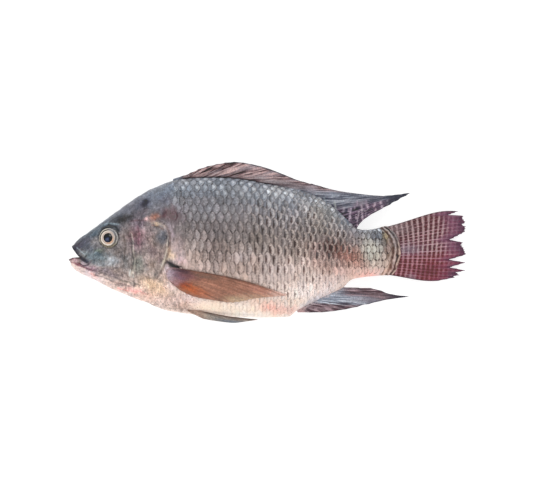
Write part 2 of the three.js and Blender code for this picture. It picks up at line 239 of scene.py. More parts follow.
# Soft patches of colour: along, up, half width, half height, tilt in degrees, colour, strength.
PATCHES = [
    # flank: duller upper side, red-brown blotch, pale rear belly
    (31, 6.3, 9, 1.8, 0, (100, 95, 100), 0.65),
    (35.5, 3, 5, 2.6, 0, (106, 98, 99), 0.7),
    (37.5, -2.4, 2.6, 2.2, 0, (124, 111, 109), 0.6),
    (56.5, -7, 6, 3.4, 10, (224, 206, 201), 0.6),
    (48, 0.2, 3, 2.2, 0, (124, 113, 108), 0.5),
    (33, 8.6, 3, 2.6, 0, (98, 98, 106), 0.5),
    (53.5, 12.4, 4, 1.8, -15, (152, 152, 156), 0.45),
    (36.3, -5.6, 2.6, 1.2, 0, (158, 142, 138), 0.55),
    (58, -1.6, 2.8, 2.4, 0, (120, 105, 99), 0.5),
    (62.8, -6.6, 3, 2, 0, (184, 158, 150), 0.55),
    (67, -6.2, 3.6, 1.9, -15, (170, 132, 124), 0.6),
    (63.5, 6.5, 3.5, 3.5, -30, (146, 139, 128), 0.4),
    (62.6, -4, 2, 1.5, 0, (146, 120, 114), 0.5),
    (66.4, -1.8, 3, 2, -25, (62, 42, 42), 1),
    (70.4, -3.1, 3.8, 2.3, -20, (158, 110, 98), 0.85),
    (71.4, 1.1, 3.3, 2, 0, (140, 122, 119), 0.45),
    (62, -1.2, 1.6, 1.6, 0, (172, 142, 138), 0.7),
    (74.6, -5.2, 2.3, 1.5, 0, (190, 140, 128), 0.55),
    (71.1, -7.7, 3.5, 1.3, 5, (206, 168, 160), 0.6),
    (76.4, -7.8, 3.8, 0.9, 8, (240, 174, 164), 0.85),
    (63.5, -11.3, 6, 2.6, 15, (208, 188, 187), 0.9),
    (57.8, -15, 3, 1.5, 15, (238, 216, 200), 0.6),
    (58.5, -12, 7.5, 1.8, 4, (255, 240, 234), 0.75),
    (50.5, -16.3, 2.3, 1, 0, (238, 166, 152), 0.75),
    (54.5, -16.9, 2.6, 0.9, 10, (226, 178, 166), 0.8),
    (47, -14.8, 2.3, 0.9, -10, (234, 198, 180), 0.5),
    (40, -16.8, 8.5, 1.3, -8, (252, 230, 208), 0.6),
    (43, -3.6, 2, 1.1, 0, (212, 198, 200), 0.5),
    (60.8, -15, 2.8, 0.8, 27, (176, 176, 186), 0.7),
    (28, 9.4, 2, 1.5, 0, (148, 150, 160), 0.6),
    (61.3, 3.6, 1.2, 1.5, 0, (100, 92, 90), 0.75),
    (59.6, 8.5, 2.8, 1.2, -38, (186, 184, 187), 0.5),
    (61.2, -8.7, 2, 1.3, 0, (236, 222, 218), 0.5),
    (66, -4.7, 1.5, 1, -10, (188, 166, 158), 0.5),
    (32, -6.4, 2.8, 0.9, 0, (200, 180, 176), 0.5),
    (35.8, -0.3, 1.7, 1.2, 0, (104, 92, 91), 0.5),
    (48.4, 1.7, 1.9, 1.1, 0, (96, 88, 84), 0.45),
    (71.1, 3.2, 1.6, 1, 0, (106, 101, 104), 0.5),
    (28, 15.3, 2.5, 1, 10, (98, 98, 104), 0.8),
    # tail stalk
    (76.1, -2.2, 2.4, 3.8, 12, (192, 188, 178), 0.95),
    (76.3, -3.6, 0.6, 0.8, 0, (128, 118, 108), 0.7),
    (76.8, 1.5, 1.5, 1.2, -20, (92, 95, 104), 0.85),
    (79.7, 1.6, 0.9, 1.2, 0, (142, 122, 86), 0.7),
    (81.4, -6.4, 1, 1.4, 0, (116, 84, 80), 0.8),
    (80.4, -1.9, 1, 2.3, 0, (150, 120, 110), 0.5),
    (78.4, -7.6, 2, 0.7, 0, (226, 198, 190), 0.7),
    (78.6, -5.4, 1.3, 1.6, 0, (180, 160, 150), 0.6),
    # head: broad tones
    (13, -3.6, 8, 4.2, -10, (132, 125, 124), 0.85),
    (13.5, -8.6, 6, 2, -24, (168, 152, 147), 0.85),
    (13, -12, 9, 1.5, -22, (224, 196, 186), 0.9),
    (5, -8, 4, 1.1, -27, (228, 208, 209), 0.9),
    (20.5, -7, 2.6, 3.4, 0, (150, 136, 130), 0.7),
    (19.4, -12.8, 4, 1.6, -15, (226, 188, 174), 0.7),
    # snout, brow and nape
    (4.8, 1.1, 3.5, 2.3, 38, (88, 95, 106), 0.95),
    (1.8, -1.2, 1.3, 0.8, 35, (58, 56, 68), 0.9),
    (4, 0.2, 2.2, 0.9, 30, (74, 70, 84), 0.6),
    (7, 2.6, 2.3, 1, 35, (78, 90, 98), 0.7),
    (6.9, 0.3, 1.5, 1, 10, (148, 140, 138), 0.8),
    (5.3, -1.7, 1.5, 0.7, -20, (80, 82, 92), 0.8),
    (9.8, 5.1, 4, 1, 30, (80, 89, 99), 0.85),
    (12.3, 7.3, 4.3, 2, 38, (96, 101, 112), 0.9),
    (17.8, 9.9, 5, 2.3, 30, (103, 102, 113), 0.85),
    (22.9, 12.4, 4.5, 1.8, 20, (118, 126, 139), 0.8),
    (19, 9.9, 1.3, 0.8, 30, (48, 46, 58), 0.9),
    (24.3, 10.6, 1.8, 1.2, 10, (98, 96, 106), 0.7),
    (13.7, 5.8, 2.5, 1, 16, (52, 51, 52), 0.95),
    # between the eye and the gill cover
    (14.1, 0.8, 1.6, 3.6, 0, (122, 110, 108), 0.75),
    (17.4, 1.4, 1.8, 3.2, 0, (126, 96, 104), 0.85),
    (18.4, 5, 2.2, 1.2, 0, (110, 96, 104), 0.7),
    (20.2, 2.2, 1.4, 2.2, 0, (142, 122, 124), 0.6),
    (23.6, 1.2, 1.3, 1.8, -20, (94, 98, 110), 0.7),
    (21.3, -2.2, 1.5, 1.6, 0, (130, 114, 117), 0.7),
    (19.3, -4.8, 1.4, 1.3, 0, (174, 158, 156), 0.75),
    (17.6, -5.6, 1.3, 2, 0, (118, 119, 112), 0.75),
    (21.9, -8, 0.6, 0.8, 0, (96, 90, 88), 0.7),
    # cheek and lower jaw
    (7, -3.7, 3.3, 1.6, -5, (108, 122, 130), 0.92),
    (7.6, -2.1, 1, 0.4, 0, (112, 122, 100), 0.45),
    # painted highlight on the cheek
    (10.9, -5, 1.4, 1.1, 30, (180, 186, 194), 0.85),
    (7.8, -5.4, 2, 0.6, -10, (142, 148, 155), 0.6),
    (9.2, -7.6, 3.6, 0.9, -17, (128, 118, 124), 0.85),
    (5.8, -6.5, 1.5, 0.7, -15, (150, 122, 134), 0.8),
    (2.5, -5.5, 1, 0.4, -20, (134, 88, 94), 0.9),
    (3.6, -5, 0.7, 0.3, -35, (190, 170, 178), 0.8),
    (1.6, -4.4, 1.2, 0.5, 0, (166, 138, 142), 0.95),
    (0.4, -4.2, 0.4, 0.5, 0, (94, 78, 84), 0.8),
    (6.3, -8.2, 1.1, 0.5, -27, (238, 180, 174), 0.7),
    (14.3, -5, 1.1, 1.4, 0, (112, 110, 110), 0.75),
    # painted glint on the lower cheek
    (15.6, -7.9, 0.3, 0.9, 10, (220, 224, 222), 0.4),
    (16.6, -12, 2.6, 0.5, -15, (244, 170, 162), 0.7),
    # around the gill opening
    (25.8, 6.8, 2.7, 1.6, 0, (76, 52, 58), 0.95),
    (18.4, 7.5, 1.8, 1, 20, (86, 78, 86), 0.5),
    (21.8, 6.3, 1.3, 0.7, 5, (170, 118, 102), 0.8),
    (19.7, 5.9, 0.6, 0.5, 0, (208, 170, 168), 0.8),
    # the cream arc at the top of the gill opening is painted highlight
    (22.2, 4.8, 1.2, 0.35, -12, (218, 188, 160), 0.8),
    (24.1, 3.9, 0.6, 0.3, -45, (208, 184, 168), 0.7),
    (25.9, 2.2, 1, 2.4, 12, (162, 148, 158), 0.75),
    (28.3, 0.6, 1.1, 1.5, 0, (118, 104, 106), 0.55),
    (23.2, -3.9, 0.7, 1.6, -12, (130, 112, 112), 0.8),
    (27.6, -1.9, 1.3, 2.3, 8, (176, 156, 156), 0.75),
    (28, -4.5, 1.4, 0.9, -10, (226, 196, 198), 0.95),
    (26, -3.5, 0.9, 0.7, -20, (240, 214, 194), 0.9),
    (25.2, -2.6, 0.5, 1.1, 0, (196, 164, 134), 0.7),
    (24.3, -4.8, 0.5, 1.6, -24, (208, 192, 164), 0.7),
    (24.5, -6.6, 0.7, 1, 0, (196, 178, 184), 0.8),
    (24.3, -9, 1, 1.3, 0, (190, 164, 154), 0.7),
    # chest and belly below the side fin
    (29.9, -14.2, 2.5, 1.3, -10, (228, 210, 212), 0.7),
    (27, -14.8, 4, 2, -10, (204, 174, 164), 0.75),
    (21.9, -11, 3.6, 1.6, -20, (230, 198, 170), 0.8),
    (21.6, -15.2, 3.5, 0.9, -15, (208, 176, 164), 0.6),
    (28.6, -16.5, 2.1, 0.8, -10, (178, 152, 142), 0.65),
    (25.6, -10.9, 1.3, 1.1, 0, (236, 206, 202), 0.6),
    (43.3, -18.4, 3, 0.7, 0, (252, 240, 232), 0.6),
    (12.8, -10.6, 1.8, 0.7, -20, (170, 152, 150), 0.6),
]

# Fine lines: places along it, half width, colour, strength, and depth in millimetres.
LINES = [
    ([[0.9, -1.07], [1.33, -2.2], [2.51, -3.45], [3.64, -4.33], [4.6, -4.84]], 0.5, (46, 46, 56), 0.95, -0.5),
    # painted highlight along the upper lip
    ([[2.01, -1.27], [2.89, -2.15], [4.15, -3.15]], 0.15, (178, 194, 204), 0.65, 0.25),
    ([[0.1, -4.5], [0.5, -4], [1.51, -3.85], [2.86, -3.95]], 0.2, (70, 44, 48), 0.95, -0.15),
    ([[3.02, -5.46], [3.77, -5.92], [4.77, -5.72], [5.4, -5.09]], 0.18, (78, 62, 74), 0.8, 0.3),
    ([[0.3, -4.9], [1.3, -5.2], [2.51, -5.9], [4.27, -6.42], [5.78, -7.02]], 0.2, (106, 68, 76), 0.75, 0.35),
    ([[15.95, 0.6], [15.9, -2], [16.3, -4.6], [16.1, -6.4], [15.6, -7.5]], 0.16, (70, 70, 68), 0.5, 0.08),
    ([[15.8, 2.2], [16.3, 0.2], [16.3, -2.2], [16.75, -4.6], [16.5, -6.6], [15.7, -8]], 0.17,
     (214, 208, 192), 0.5, -0.08),
    # painted glints on the lower cheek
    ([[15.58, -6.97], [15.28, -8.23]], 0.15, (236, 240, 238), 0.7, 0),
    ([[16.21, -7.47], [16.33, -8.86]], 0.15, (226, 228, 222), 0.6, 0),
    ([[8.4, 4.2], [10.05, 4.75], [12.6, 4.5]], 0.2, (140, 160, 168), 0.6, -0.25),
    # painted shade under the brow over the eye, over a shallow groove
    ([[8.67, 3.51], [10.18, 4.13], [11.81, 3.83], [12.56, 2.83]], 0.32, (24, 36, 44), 0.95, 0.35),
    # painted shade in the gap over the side fin's root, over a real groove
    ([[24.8, -4.9], [25.7, -5.4], [26.7, -6], [28.2, -6.5]], 0.36, (38, 32, 38), 0.97, 0.8),
    ([[25.7, -5.6], [26.5, -6.2], [27.4, -6.4]], 0.55, (44, 36, 42), 0.9, 0.2),
    ([[24.6, 1.6], [25.05, 0.4], [25.15, -0.4], [24.85, -1.3]], 0.18, (44, 40, 50), 0.85, 0.2),
    ([[15.58, 5.24], [17.34, 5.49], [19.35, 5.44]], 0.15, (96, 72, 78), 0.7, 0.25),
    ([[20.85, 4.28], [22.36, 4.03], [23.74, 3.28]], 0.15, (122, 92, 80), 0.7, 0.2),
    ([[6.78, -8.23], [8.79, -8.83], [10.8, -9.59]], 0.16, (122, 112, 114), 0.75, 0.25),
    ([[7.54, -7.35], [10.3, -8.23], [12.81, -9.23]], 0.16, (118, 108, 110), 0.75, 0.25),
    ([[10.3, -9.74], [13.07, -10.39], [15.58, -11.14]], 0.16, (140, 120, 116), 0.75, 0.25),
    ([[13.07, -9.48], [15.58, -10.14], [18.09, -10.74]], 0.16, (122, 116, 108), 0.7, 0.25),
    ([[12.31, -11.49], [14.82, -12.15], [18.09, -12.35]], 0.15, (244, 150, 146), 0.7, 0.15),
    ([[8.79, -6.6], [10.8, -6.85], [12.56, -6.09]], 0.13, (84, 78, 88), 0.5, 0.2),
    ([[13.82, 1.57], [14.32, -0.94], [13.94, -3.96]], 0.16, (88, 78, 72), 0.6, 0.15),
    ([[17.34, 4.08], [17.84, 2.07], [17.46, -0.44]], 0.16, (102, 66, 78), 0.6, 0.1),
    ([[19.35, 1.57], [20.6, -0.44], [20.85, -2.95]], 0.16, (98, 86, 88), 0.55, 0.15),
]
# a pale line along the gill cover's rim is painted highlight
GILL_RIM_HIGHLIGHT = (238, 230, 212)
GILL_SHADE = (104, 88, 84)
EYE_SHADE = (54, 56, 58)
EYE_SHADE_PLACE = 2.66                    # from the eye's centre, in hundredths of the length
# Pale rings on the ridges of the stalk's end are painted highlight and dark rings between them painted shade,
# over its own tones.
TAIL_RINGS = [   # round the stalk's end: place behind the end, half width, strength, colour
    (0.15, 0.3, 0.95, (70, 40, 42)), (-0.8, 0.34, 0.95, (58, 40, 36)), (-1.95, 0.38, 0.85, (78, 56, 48)),
    (-3.2, 0.4, 0.6, (92, 72, 58)), (-0.28, 0.19, 0.85, (216, 190, 178)),
    (-1.35, 0.2, 0.8, (208, 186, 180)), (-2.6, 0.2, 0.5, (204, 180, 164)),
]


def with_patches(colour, along, up, patches):
    waver_a = along + 0.6 * uneven(along, up, 1.4, 3)
    waver_u = up + 0.6 * uneven(along, up, 1.4, 13)
    broken = 1 + 0.45 * uneven(along, up, 0.9, 15)
    for centre_along, centre_up, wide, high, tilt, tint, strength in patches:
        turn = np.radians(tilt)
        a, u = waver_a - centre_along, waver_u - centre_up
        across = (a * np.cos(turn) + u * np.sin(turn)) / wide
        above = (u * np.cos(turn) - a * np.sin(turn)) / high
        share = strength * np.exp(-0.7 * (across**2 + above**2) ** 1.4)
        colour = blot(colour, share * mix(1, broken, bell(share - 0.5, 0.5)), tint)
    return colour


def with_lines(colour, along, up, lines):
    for line, width, tint, strength, *_ in lines:
        colour = blot(colour, strength * bell(distance_to(line, along, up), width), tint)
    return colour


def with_spots(colour, along, up, spots):
    """The colour with even, soft spots: along, up, half width, half height, colour, strength."""
    for centre_along, centre_up, wide, high, tint, strength in spots:
        share = strength * bell(along - centre_along, wide) * bell(up - centre_up, high)
        colour = blot(colour, share, tint)
    return colour


def depth_share(along, up):
    low, high = belly_line(along), back_line(along)
    return np.clip((up - low) / (high - low), 0, 1)


def skin_colour(along, up, round_body=None):
    """sRGB colour of the skin at an outline place. round_body is the distance round the girth,
    for the skin itself; it also adds the narrow lines, which the scales don't show."""
    colour = ramp(depth_share(along, up + 0.5 * uneven(along, up, 3, 5)), TRUNK_BANDS)
    colour = with_patches(colour, along, up, PATCHES)
    if round_body is not None:
        colour = with_lines(colour, along, up, LINES)
        behind = along - gill_edge(up)
        fade = smooth_step(5.5, 3, up) * smooth_step(-11, -8, up)
        colour = blot(colour, 0.6 * fade * bell(behind - 0.45, 0.3), GILL_SHADE)
        # painted highlight along the gill cover's rim
        shown = fade * smooth_step(-9, -5, up) * smooth_step(3, 0, up)
        colour = blot(colour, 0.5 * shown * bell(behind + 0.12, 0.16), GILL_RIM_HIGHLIGHT)
        from_eye = np.hypot(along - EYE_CENTRE[0], up - EYE_CENTRE[1])
        colour = blot(colour, 0.5 * bell(from_eye - EYE_SHADE_PLACE, 0.14), EYE_SHADE)
        # painted highlight and shade on the rings round the stalk's end
        ring = along - tail_ring(up) + 0.5 * uneven(along, up, 1.5, 17)
        near = smooth_step(70, 78, along) * (0.9 + 0.9 * uneven(along, up, 1.1, 19))
        for behind, width, strength, tint in TAIL_RINGS:
            colour = blot(colour, strength * near * bell(ring - behind, width), tint)
    across = up if round_body is None else round_body
    head = smooth_step(26, 20, along)
    light = (0.1 + 0.14 * head) * uneven(along, across, 1.1, 21)
    light += 0.22 * head * uneven(0.8 * along + 0.6 * across, 2 * across - 1.2 * along, 1.5, 29)
    light += 0.26 * smooth_step(11, 14, along) * head * uneven(along * 2.6, across * 0.7, 1.3, 37)
    shoulder = smooth_step(22, 25, along) * smooth_step(36, 28, along)
    light += 0.34 * shoulder * uneven(along * 2.2, across * 0.9, 1, 27)
    ridges, grooves = (bell(uneven(along * 1.3, across, 1.7, seed), 0.07) for seed in (43, 46))
    light += 0.2 * smooth_step(28, 24, along) * (ridges - grooves)
    light *= mix(1, 0.5, smooth_step(170, 215, colour[..., 1])) * mix(1, 0.65, smooth_step(4, 8, up))
    warm = 0.035 * uneven(along, across, 2.6, 24)
    return colour * (1 + light[..., None] + warm[..., None] * [1, 0, -1])


# ---- Body surface ----------------------------------------------------------------------------

def midplane(along):
    """Height of the fish's middle plane, in millimetres: it droops towards both ends."""
    rear, front = (along - BELLY_MIDDLE) / (100 - BELLY_MIDDLE), along / BELLY_MIDDLE - 1
    drop = np.where(along > BELLY_MIDDLE, TAIL_SAG * rear**2, SNOUT_SAG * front**2)
    return MIDPLANE_HEIGHT - drop


def place(along, up, height):
    """Points in metres, from outline places and heights over the middle plane."""
    z = midplane(along) + height
    return np.stack([(along - ORIGIN) * UNIT, up * UNIT, z * MM], -1)


def outline_of(points):
    """Outline places, along and up, of points in metres."""
    return points[..., 0] / UNIT + ORIGIN, points[..., 1] / UNIT


def pressed(points):
    """The points with those near and under the table pressed softly up to it."""
    z = points[..., 2:] / MM
    z = PRESS_SOFTNESS * np.logaddexp(0, z / PRESS_SOFTNESS)
    return np.concatenate([points[..., :2], z * MM], -1)


def gill_cover_lift(along, up):
    edge = gill_edge(up)
    cover = smooth_step(edge + 0.35, edge - 0.1, along) * smooth_step(8, 18, along)
    return GILL_COVER_STEP * cover * smooth_step(7.5, 4, up) * smooth_step(-13, -10, up)


# Swellings of the skin: along, up, half width, half height, height in millimetres.
SIDE_FIN_BASE = (25.8, -7.6, 1.4, 2.4, 1.2)
FOLD_OVER_SIDE_FIN = (27.6, -3.9, 1.6, 1.1, 0.8)
VENT = (55.3, -17.9, 1.2, 0.8, 0.9)
NOSTRIL = (6.4, 1.6, 0.22, 0.22, -0.7)


def swelling(along, up, form):
    centre_along, centre_up, wide, high, height = form
    return height * bell(np.hypot((along - centre_along) / wide, (up - centre_up) / high), 1)


def relief(along, up, round_body):
    """Depth of the skin's finer forms along its normal, in millimetres, inwards negative."""
    out = np.zeros(np.shape(along))
    for line, width, _, _, depth in LINES:
        if depth:
            out -= depth * bell(distance_to(line, along, up), width)
    from_eye = np.hypot(along - EYE_CENTRE[0], up - EYE_CENTRE[1]) * UNIT_MM
    out += EYE_RIM_HEIGHT * bell(from_eye - EYE_RADIUS - 1, 1)
    out -= SOCKET_DEPTH * smooth_step(EYE_RADIUS + 0.4, EYE_RADIUS - 0.5, from_eye)
    for form in (NOSTRIL, SIDE_FIN_BASE, FOLD_OVER_SIDE_FIN, VENT):
        out += swelling(along, up, form)
    out += 0.45 * uneven(along, round_body, 2.6, 31) * smooth_step(27, 22, along)
    ring = along - tail_ring(up)
    near = smooth_step(70, 78, along)
    return out + near * (0.2 * bell(ring + 0.38, 0.25) + 0.25 * bell(ring + 1.42, 0.3))


def ring_points(share, upright, angle):
    """Places on the body: share runs from the lips (0) to the first upright ring (1). Near the lips
    the rings are less round, so that the parted jaws come out as flat as the photo's."""
    top = mix(BACK_LINE[0][0], upright, share)
    side = mix(FLANK_LINE[0][0], upright, share)
    bottom = mix(BELLY_LINE[0][0], upright, share)
    rise, out = np.cos(angle), np.sin(angle)
    end = np.where(rise > 0, top, bottom)
    end_up = np.where(rise > 0, back_line(top), belly_line(bottom))
    lip = np.exp(-((share / 0.1) ** 2))
    upper = smooth_step(0, 0.3, rise)
    level = np.abs(rise) ** (1 + lip * mix(0.6, 0.9, upper))
    along = mix(side, end, np.abs(rise) ** (2 - 0.7 * lip * upper))
    up = mix(flank_line(side), end_up, level)
    up = up + 0.3 * lip * smooth_step(0, -0.3, rise) * smooth_step(-1, -0.8, rise)
    along = along + smooth_step(74, STALK_END, along) * (tail_ring(up) - STALK_END)
    height = (half_thickness(side) * UNIT_MM + gill_cover_lift(along, up)) * out
    return along, up, height


def flank_height(along, up):
    side = flank_line(along)
    end = np.where(up > side, back_line(along), belly_line(along))
    level = np.minimum(np.abs((up - side) / (end - side)), 0.93)
    return half_thickness(along) * UNIT_MM * np.sqrt(1 - level**2)


def girth_from_middle(half_rings):
    """Distance round each half ring from its middle point, positive towards its first one, in
    hundredths of the length."""
    steps = np.linalg.norm(np.diff(half_rings, axis=1), axis=-1) / UNIT
    below_top = np.concatenate([np.zeros((len(steps), 1)), np.cumsum(steps, axis=1)], axis=1)
    return below_top[:, steps.shape[1] // 2, None] - below_top


def girth_of(points):
    """Distance round the girth from the flank's middle, positive towards the back. The right side
    mirrors the left one."""
    left = girth_from_middle(points[:, :RING_CORNERS // 2 + 1])
    return np.concatenate([left, left[:, -2:0:-1]], axis=1)


def normals_of(points):
    """Unit normals of a grid of points that closes round its second direction."""
    lengthways = np.gradient(points, axis=0)
    crossways = np.roll(points, -1, 1) - np.roll(points, 1, 1)
    normal = np.cross(crossways, lengthways)
    return normal / np.maximum(np.linalg.norm(normal, axis=-1, keepdims=True), 1e-12)


# ---- Meshes ----------------------------------------------------------------------------------

def grid_quads(rows, columns, closed=False):
    """Corners of the cells of a grid of rows by columns points, and each cell's row and column."""
    i, j = np.meshgrid(np.arange(rows - 1), np.arange(columns if closed else columns - 1), indexing="ij")
    beside = (j + 1) % columns
    corners = [i * columns + j, (i + 1) * columns + j, (i + 1) * columns + beside, i * columns + beside]
    return np.stack(corners, -1).reshape(-1, 4), i.ravel(), j.ravel()


def rim_of(rows, columns):
    """The points round the edge of a grid, in order."""
    index = np.arange(rows * columns).reshape(rows, columns)
    return np.concatenate([index[0, :-1], index[:-1, -1], index[-1, :0:-1], index[:0:-1, 0]])


def end_fans(rows, around):
    """Triangles that close both ends of a tube of rings, to two points that follow the tube's own."""
    k = np.arange(around)
    beside = (k + 1) % around
    last = (rows - 1) * around
    tip = np.full_like(k, rows * around)
    first_fan = np.stack([tip, k, beside], -1)
    last_fan = np.stack([tip + 1, last + beside, last + k], -1)
    return np.concatenate([first_fan, last_fan])


def make_piece(name, points, quads, triangles, uv, fields, material, nodes):
    """A piece that rides on the fish and stands for the CAD nodes. uv has a row per face corner."""
    mesh = bpy.data.meshes.new(name)
    corners = np.concatenate([quads.ravel(), triangles.ravel()]).astype(np.int32)
    fours, threes = len(quads), len(triangles)
    starts = np.concatenate([np.arange(fours) * 4, fours * 4 + np.arange(threes) * 3])
    mesh.vertices.add(len(points))
    mesh.vertices.foreach_set("co", points.astype(np.float32).ravel())
    mesh.loops.add(len(corners))
    mesh.loops.foreach_set("vertex_index", corners)
    mesh.polygons.add(len(starts))
    mesh.polygons.foreach_set("loop_start", starts.astype(np.int32))
    mesh.update(calc_edges=True)
    mesh.uv_layers.new(name="OFBake").data.foreach_set("uv", uv.astype(np.float32).ravel())
    for field, values in fields.items():
        values = np.asarray(values, np.float32)
        attribute = mesh.attributes.new(field, "FLOAT_VECTOR", "POINT")
        attribute.data.foreach_set("vector", values.ravel())
    mesh.shade_smooth()
    mesh.materials.append(material)
    if mesh.validate():
        raise RuntimeError(f"{name} has faces that Blender had to mend")
    piece = bpy.data.objects.new(name, mesh)
    bpy.context.scene.collection.objects.link(piece)
    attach(piece, "root")
    if nodes:
        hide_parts(*nodes)
    return piece


# ---- Materials -------------------------------------------------------------------------------

class Shader:
    """A material and short ways to add its nodes. Scales of noises and cells are per metre."""

    def __init__(self, name, roughness, coat, subsurface):
        self.material = bpy.data.materials.new(name)
        self.material.use_nodes = True
        self.tree = self.material.node_tree
        self.surface = self.tree.nodes["Principled BSDF"]
        settings = {
            "Roughness": roughness, "Coat Weight": coat, "Coat Roughness": 0.14, "IOR": 1.4,
            "Subsurface Weight": subsurface, "Subsurface Scale": 0.0015,
            "Subsurface Radius": (1, 0.45, 0.35),
        }
        for socket, value in settings.items():
            self.surface.inputs[socket].default_value = value

    def node(self, kind, settings=None, **values):
        node = self.tree.nodes.new(kind)
        for key, value in (settings or {}).items():
            setattr(node, key, value)
        for key, value in values.items():
            self.feed(node.inputs[key.replace("_", " ")], value)
        return node

    def feed(self, socket, value):
        if isinstance(value, bpy.types.NodeSocket):
            self.tree.links.new(value, socket)
        else:
            socket.default_value = value

    def math(self, operation, *values):
        node = self.node("ShaderNodeMath", {"operation": operation})
        for socket, value in zip(node.inputs, values):
            self.feed(socket, value)
        return node.outputs[0]

    def times(self, *values):
        product = values[0]
        for value in values[1:]:
            product = self.math("MULTIPLY", product, value)
        return product

    def between(self, value, low, high):
        """0 at low and 1 at high, smooth between; low may be the larger of the two."""
        settings = {"interpolation_type": "SMOOTHSTEP"}
        node = self.node("ShaderNodeMapRange", settings, Value=value, From_Min=low, From_Max=high)
        return node.outputs["Result"]

    def ellipse(self, a, b, centre_a, centre_b, size_a, size_b):
        """1 in the middle of an ellipse, 0 outside it."""
        squares = [
            self.math("POWER", self.math("DIVIDE", self.math("SUBTRACT", value, centre), size), 2.0)
            for value, centre, size in ((a, centre_a, size_a), (b, centre_b, size_b))
        ]
        return self.between(self.math("ADD", *squares), 1.2, 0.2)

    def mixed(self, share, a, b, blend="MIX"):
        node = self.node("ShaderNodeMix", {"data_type": "RGBA", "blend_type": blend})
        for socket, value in zip((node.inputs[0], node.inputs[6], node.inputs[7]), (share, a, b)):
            if isinstance(value, tuple):
                value = (*albedo(value), 1)
            self.feed(socket, value)
        return node.outputs[2]

    def scaled(self, colour, factor):
        node = self.node("ShaderNodeVectorMath", {"operation": "SCALE"}, Scale=factor)
        self.feed(node.inputs[0], colour)
        return node.outputs[0]

    def varied(self, value, amount):
        """A factor around 1 that follows a noise."""
        return self.math("MULTIPLY_ADD", value, 2.0 * amount, 1.0 - amount)

    def grained(self, colour, factor):
        """The colour times a factor around 1, less so where the colour is pale."""
        bright = self.node("ShaderNodeRGBToBW", Color=colour).outputs[0]
        keep = self.math("MULTIPLY_ADD", self.between(bright, 0.2, 0.55), -0.7, 1.0)
        change = self.times(self.math("SUBTRACT", factor, 1.0), keep)
        return self.scaled(colour, self.math("ADD", change, 1.0))

    def darkened(self, share, colour, by):
        return self.mixed(share, colour, self.mixed(1.0, colour, by, "MULTIPLY"))

    def field(self, name, output="Color"):
        return self.node("ShaderNodeAttribute", {"attribute_name": name}).outputs[output]

    def parts(self, name):
        node = self.node("ShaderNodeSeparateXYZ", Vector=self.field(name, "Vector"))
        return node.outputs["X"], node.outputs["Y"], node.outputs["Z"]

    def noise(self, scale, detail=3):
        places = self.node("ShaderNodeTexCoord").outputs["Object"]
        settings = {"Vector": places, "Scale": scale, "Detail": detail, "Roughness": 0.55}
        return self.node("ShaderNodeTexNoise", **settings).outputs["Fac"]

    def cells(self, scale):
        places = self.node("ShaderNodeTexCoord").outputs["Object"]
        return self.node("ShaderNodeTexVoronoi", Vector=places, Scale=scale).outputs["Distance"]

    def finish(self, colour, height, depth, roughness=None):
        """Sets the colour, a bump of the height field that is depth metres deep, and roughness."""
        self.feed(self.surface.inputs["Base Color"], colour)
        bump = self.node("ShaderNodeBump", Height=height, Strength=1.0, Distance=depth)
        self.feed(self.surface.inputs["Normal"], bump.outputs["Normal"])
        if roughness is not None:
            self.feed(self.surface.inputs["Roughness"], roughness)
        return self.material


def skin_material():
    """marks holds how much the skin is speckled."""
    wet = Shader("wet_skin", roughness=0.42, coat=0.25, subsurface=0.05)
    speckled = wet.parts("marks")[0]
    grain, mottle = wet.noise(1300), wet.noise(420)
    light = wet.times(wet.varied(grain, 0.8), wet.varied(wet.noise(750, 2), 0.8), wet.varied(mottle, 0.7))
    amount = wet.math("MULTIPLY_ADD", speckled, 0.4, 0.6)
    light = wet.math("MULTIPLY_ADD", wet.math("SUBTRACT", light, 1.0), amount, 1.0)
    colour = wet.grained(wet.field("tone"), light)
    dots = wet.between(wet.cells(900), 0.42, 0.15)
    spots = wet.times(dots, wet.between(mottle, 0.3, 0.55), speckled)
    colour = wet.darkened(spots, colour, (150, 118, 108))
    roughness = wet.math("ADD", 0.3, wet.times(mottle, 0.25))
    height = wet.math("ADD", grain, wet.times(wet.cells(520), 0.6))
    return wet.finish(colour, height, 0.00016, roughness)


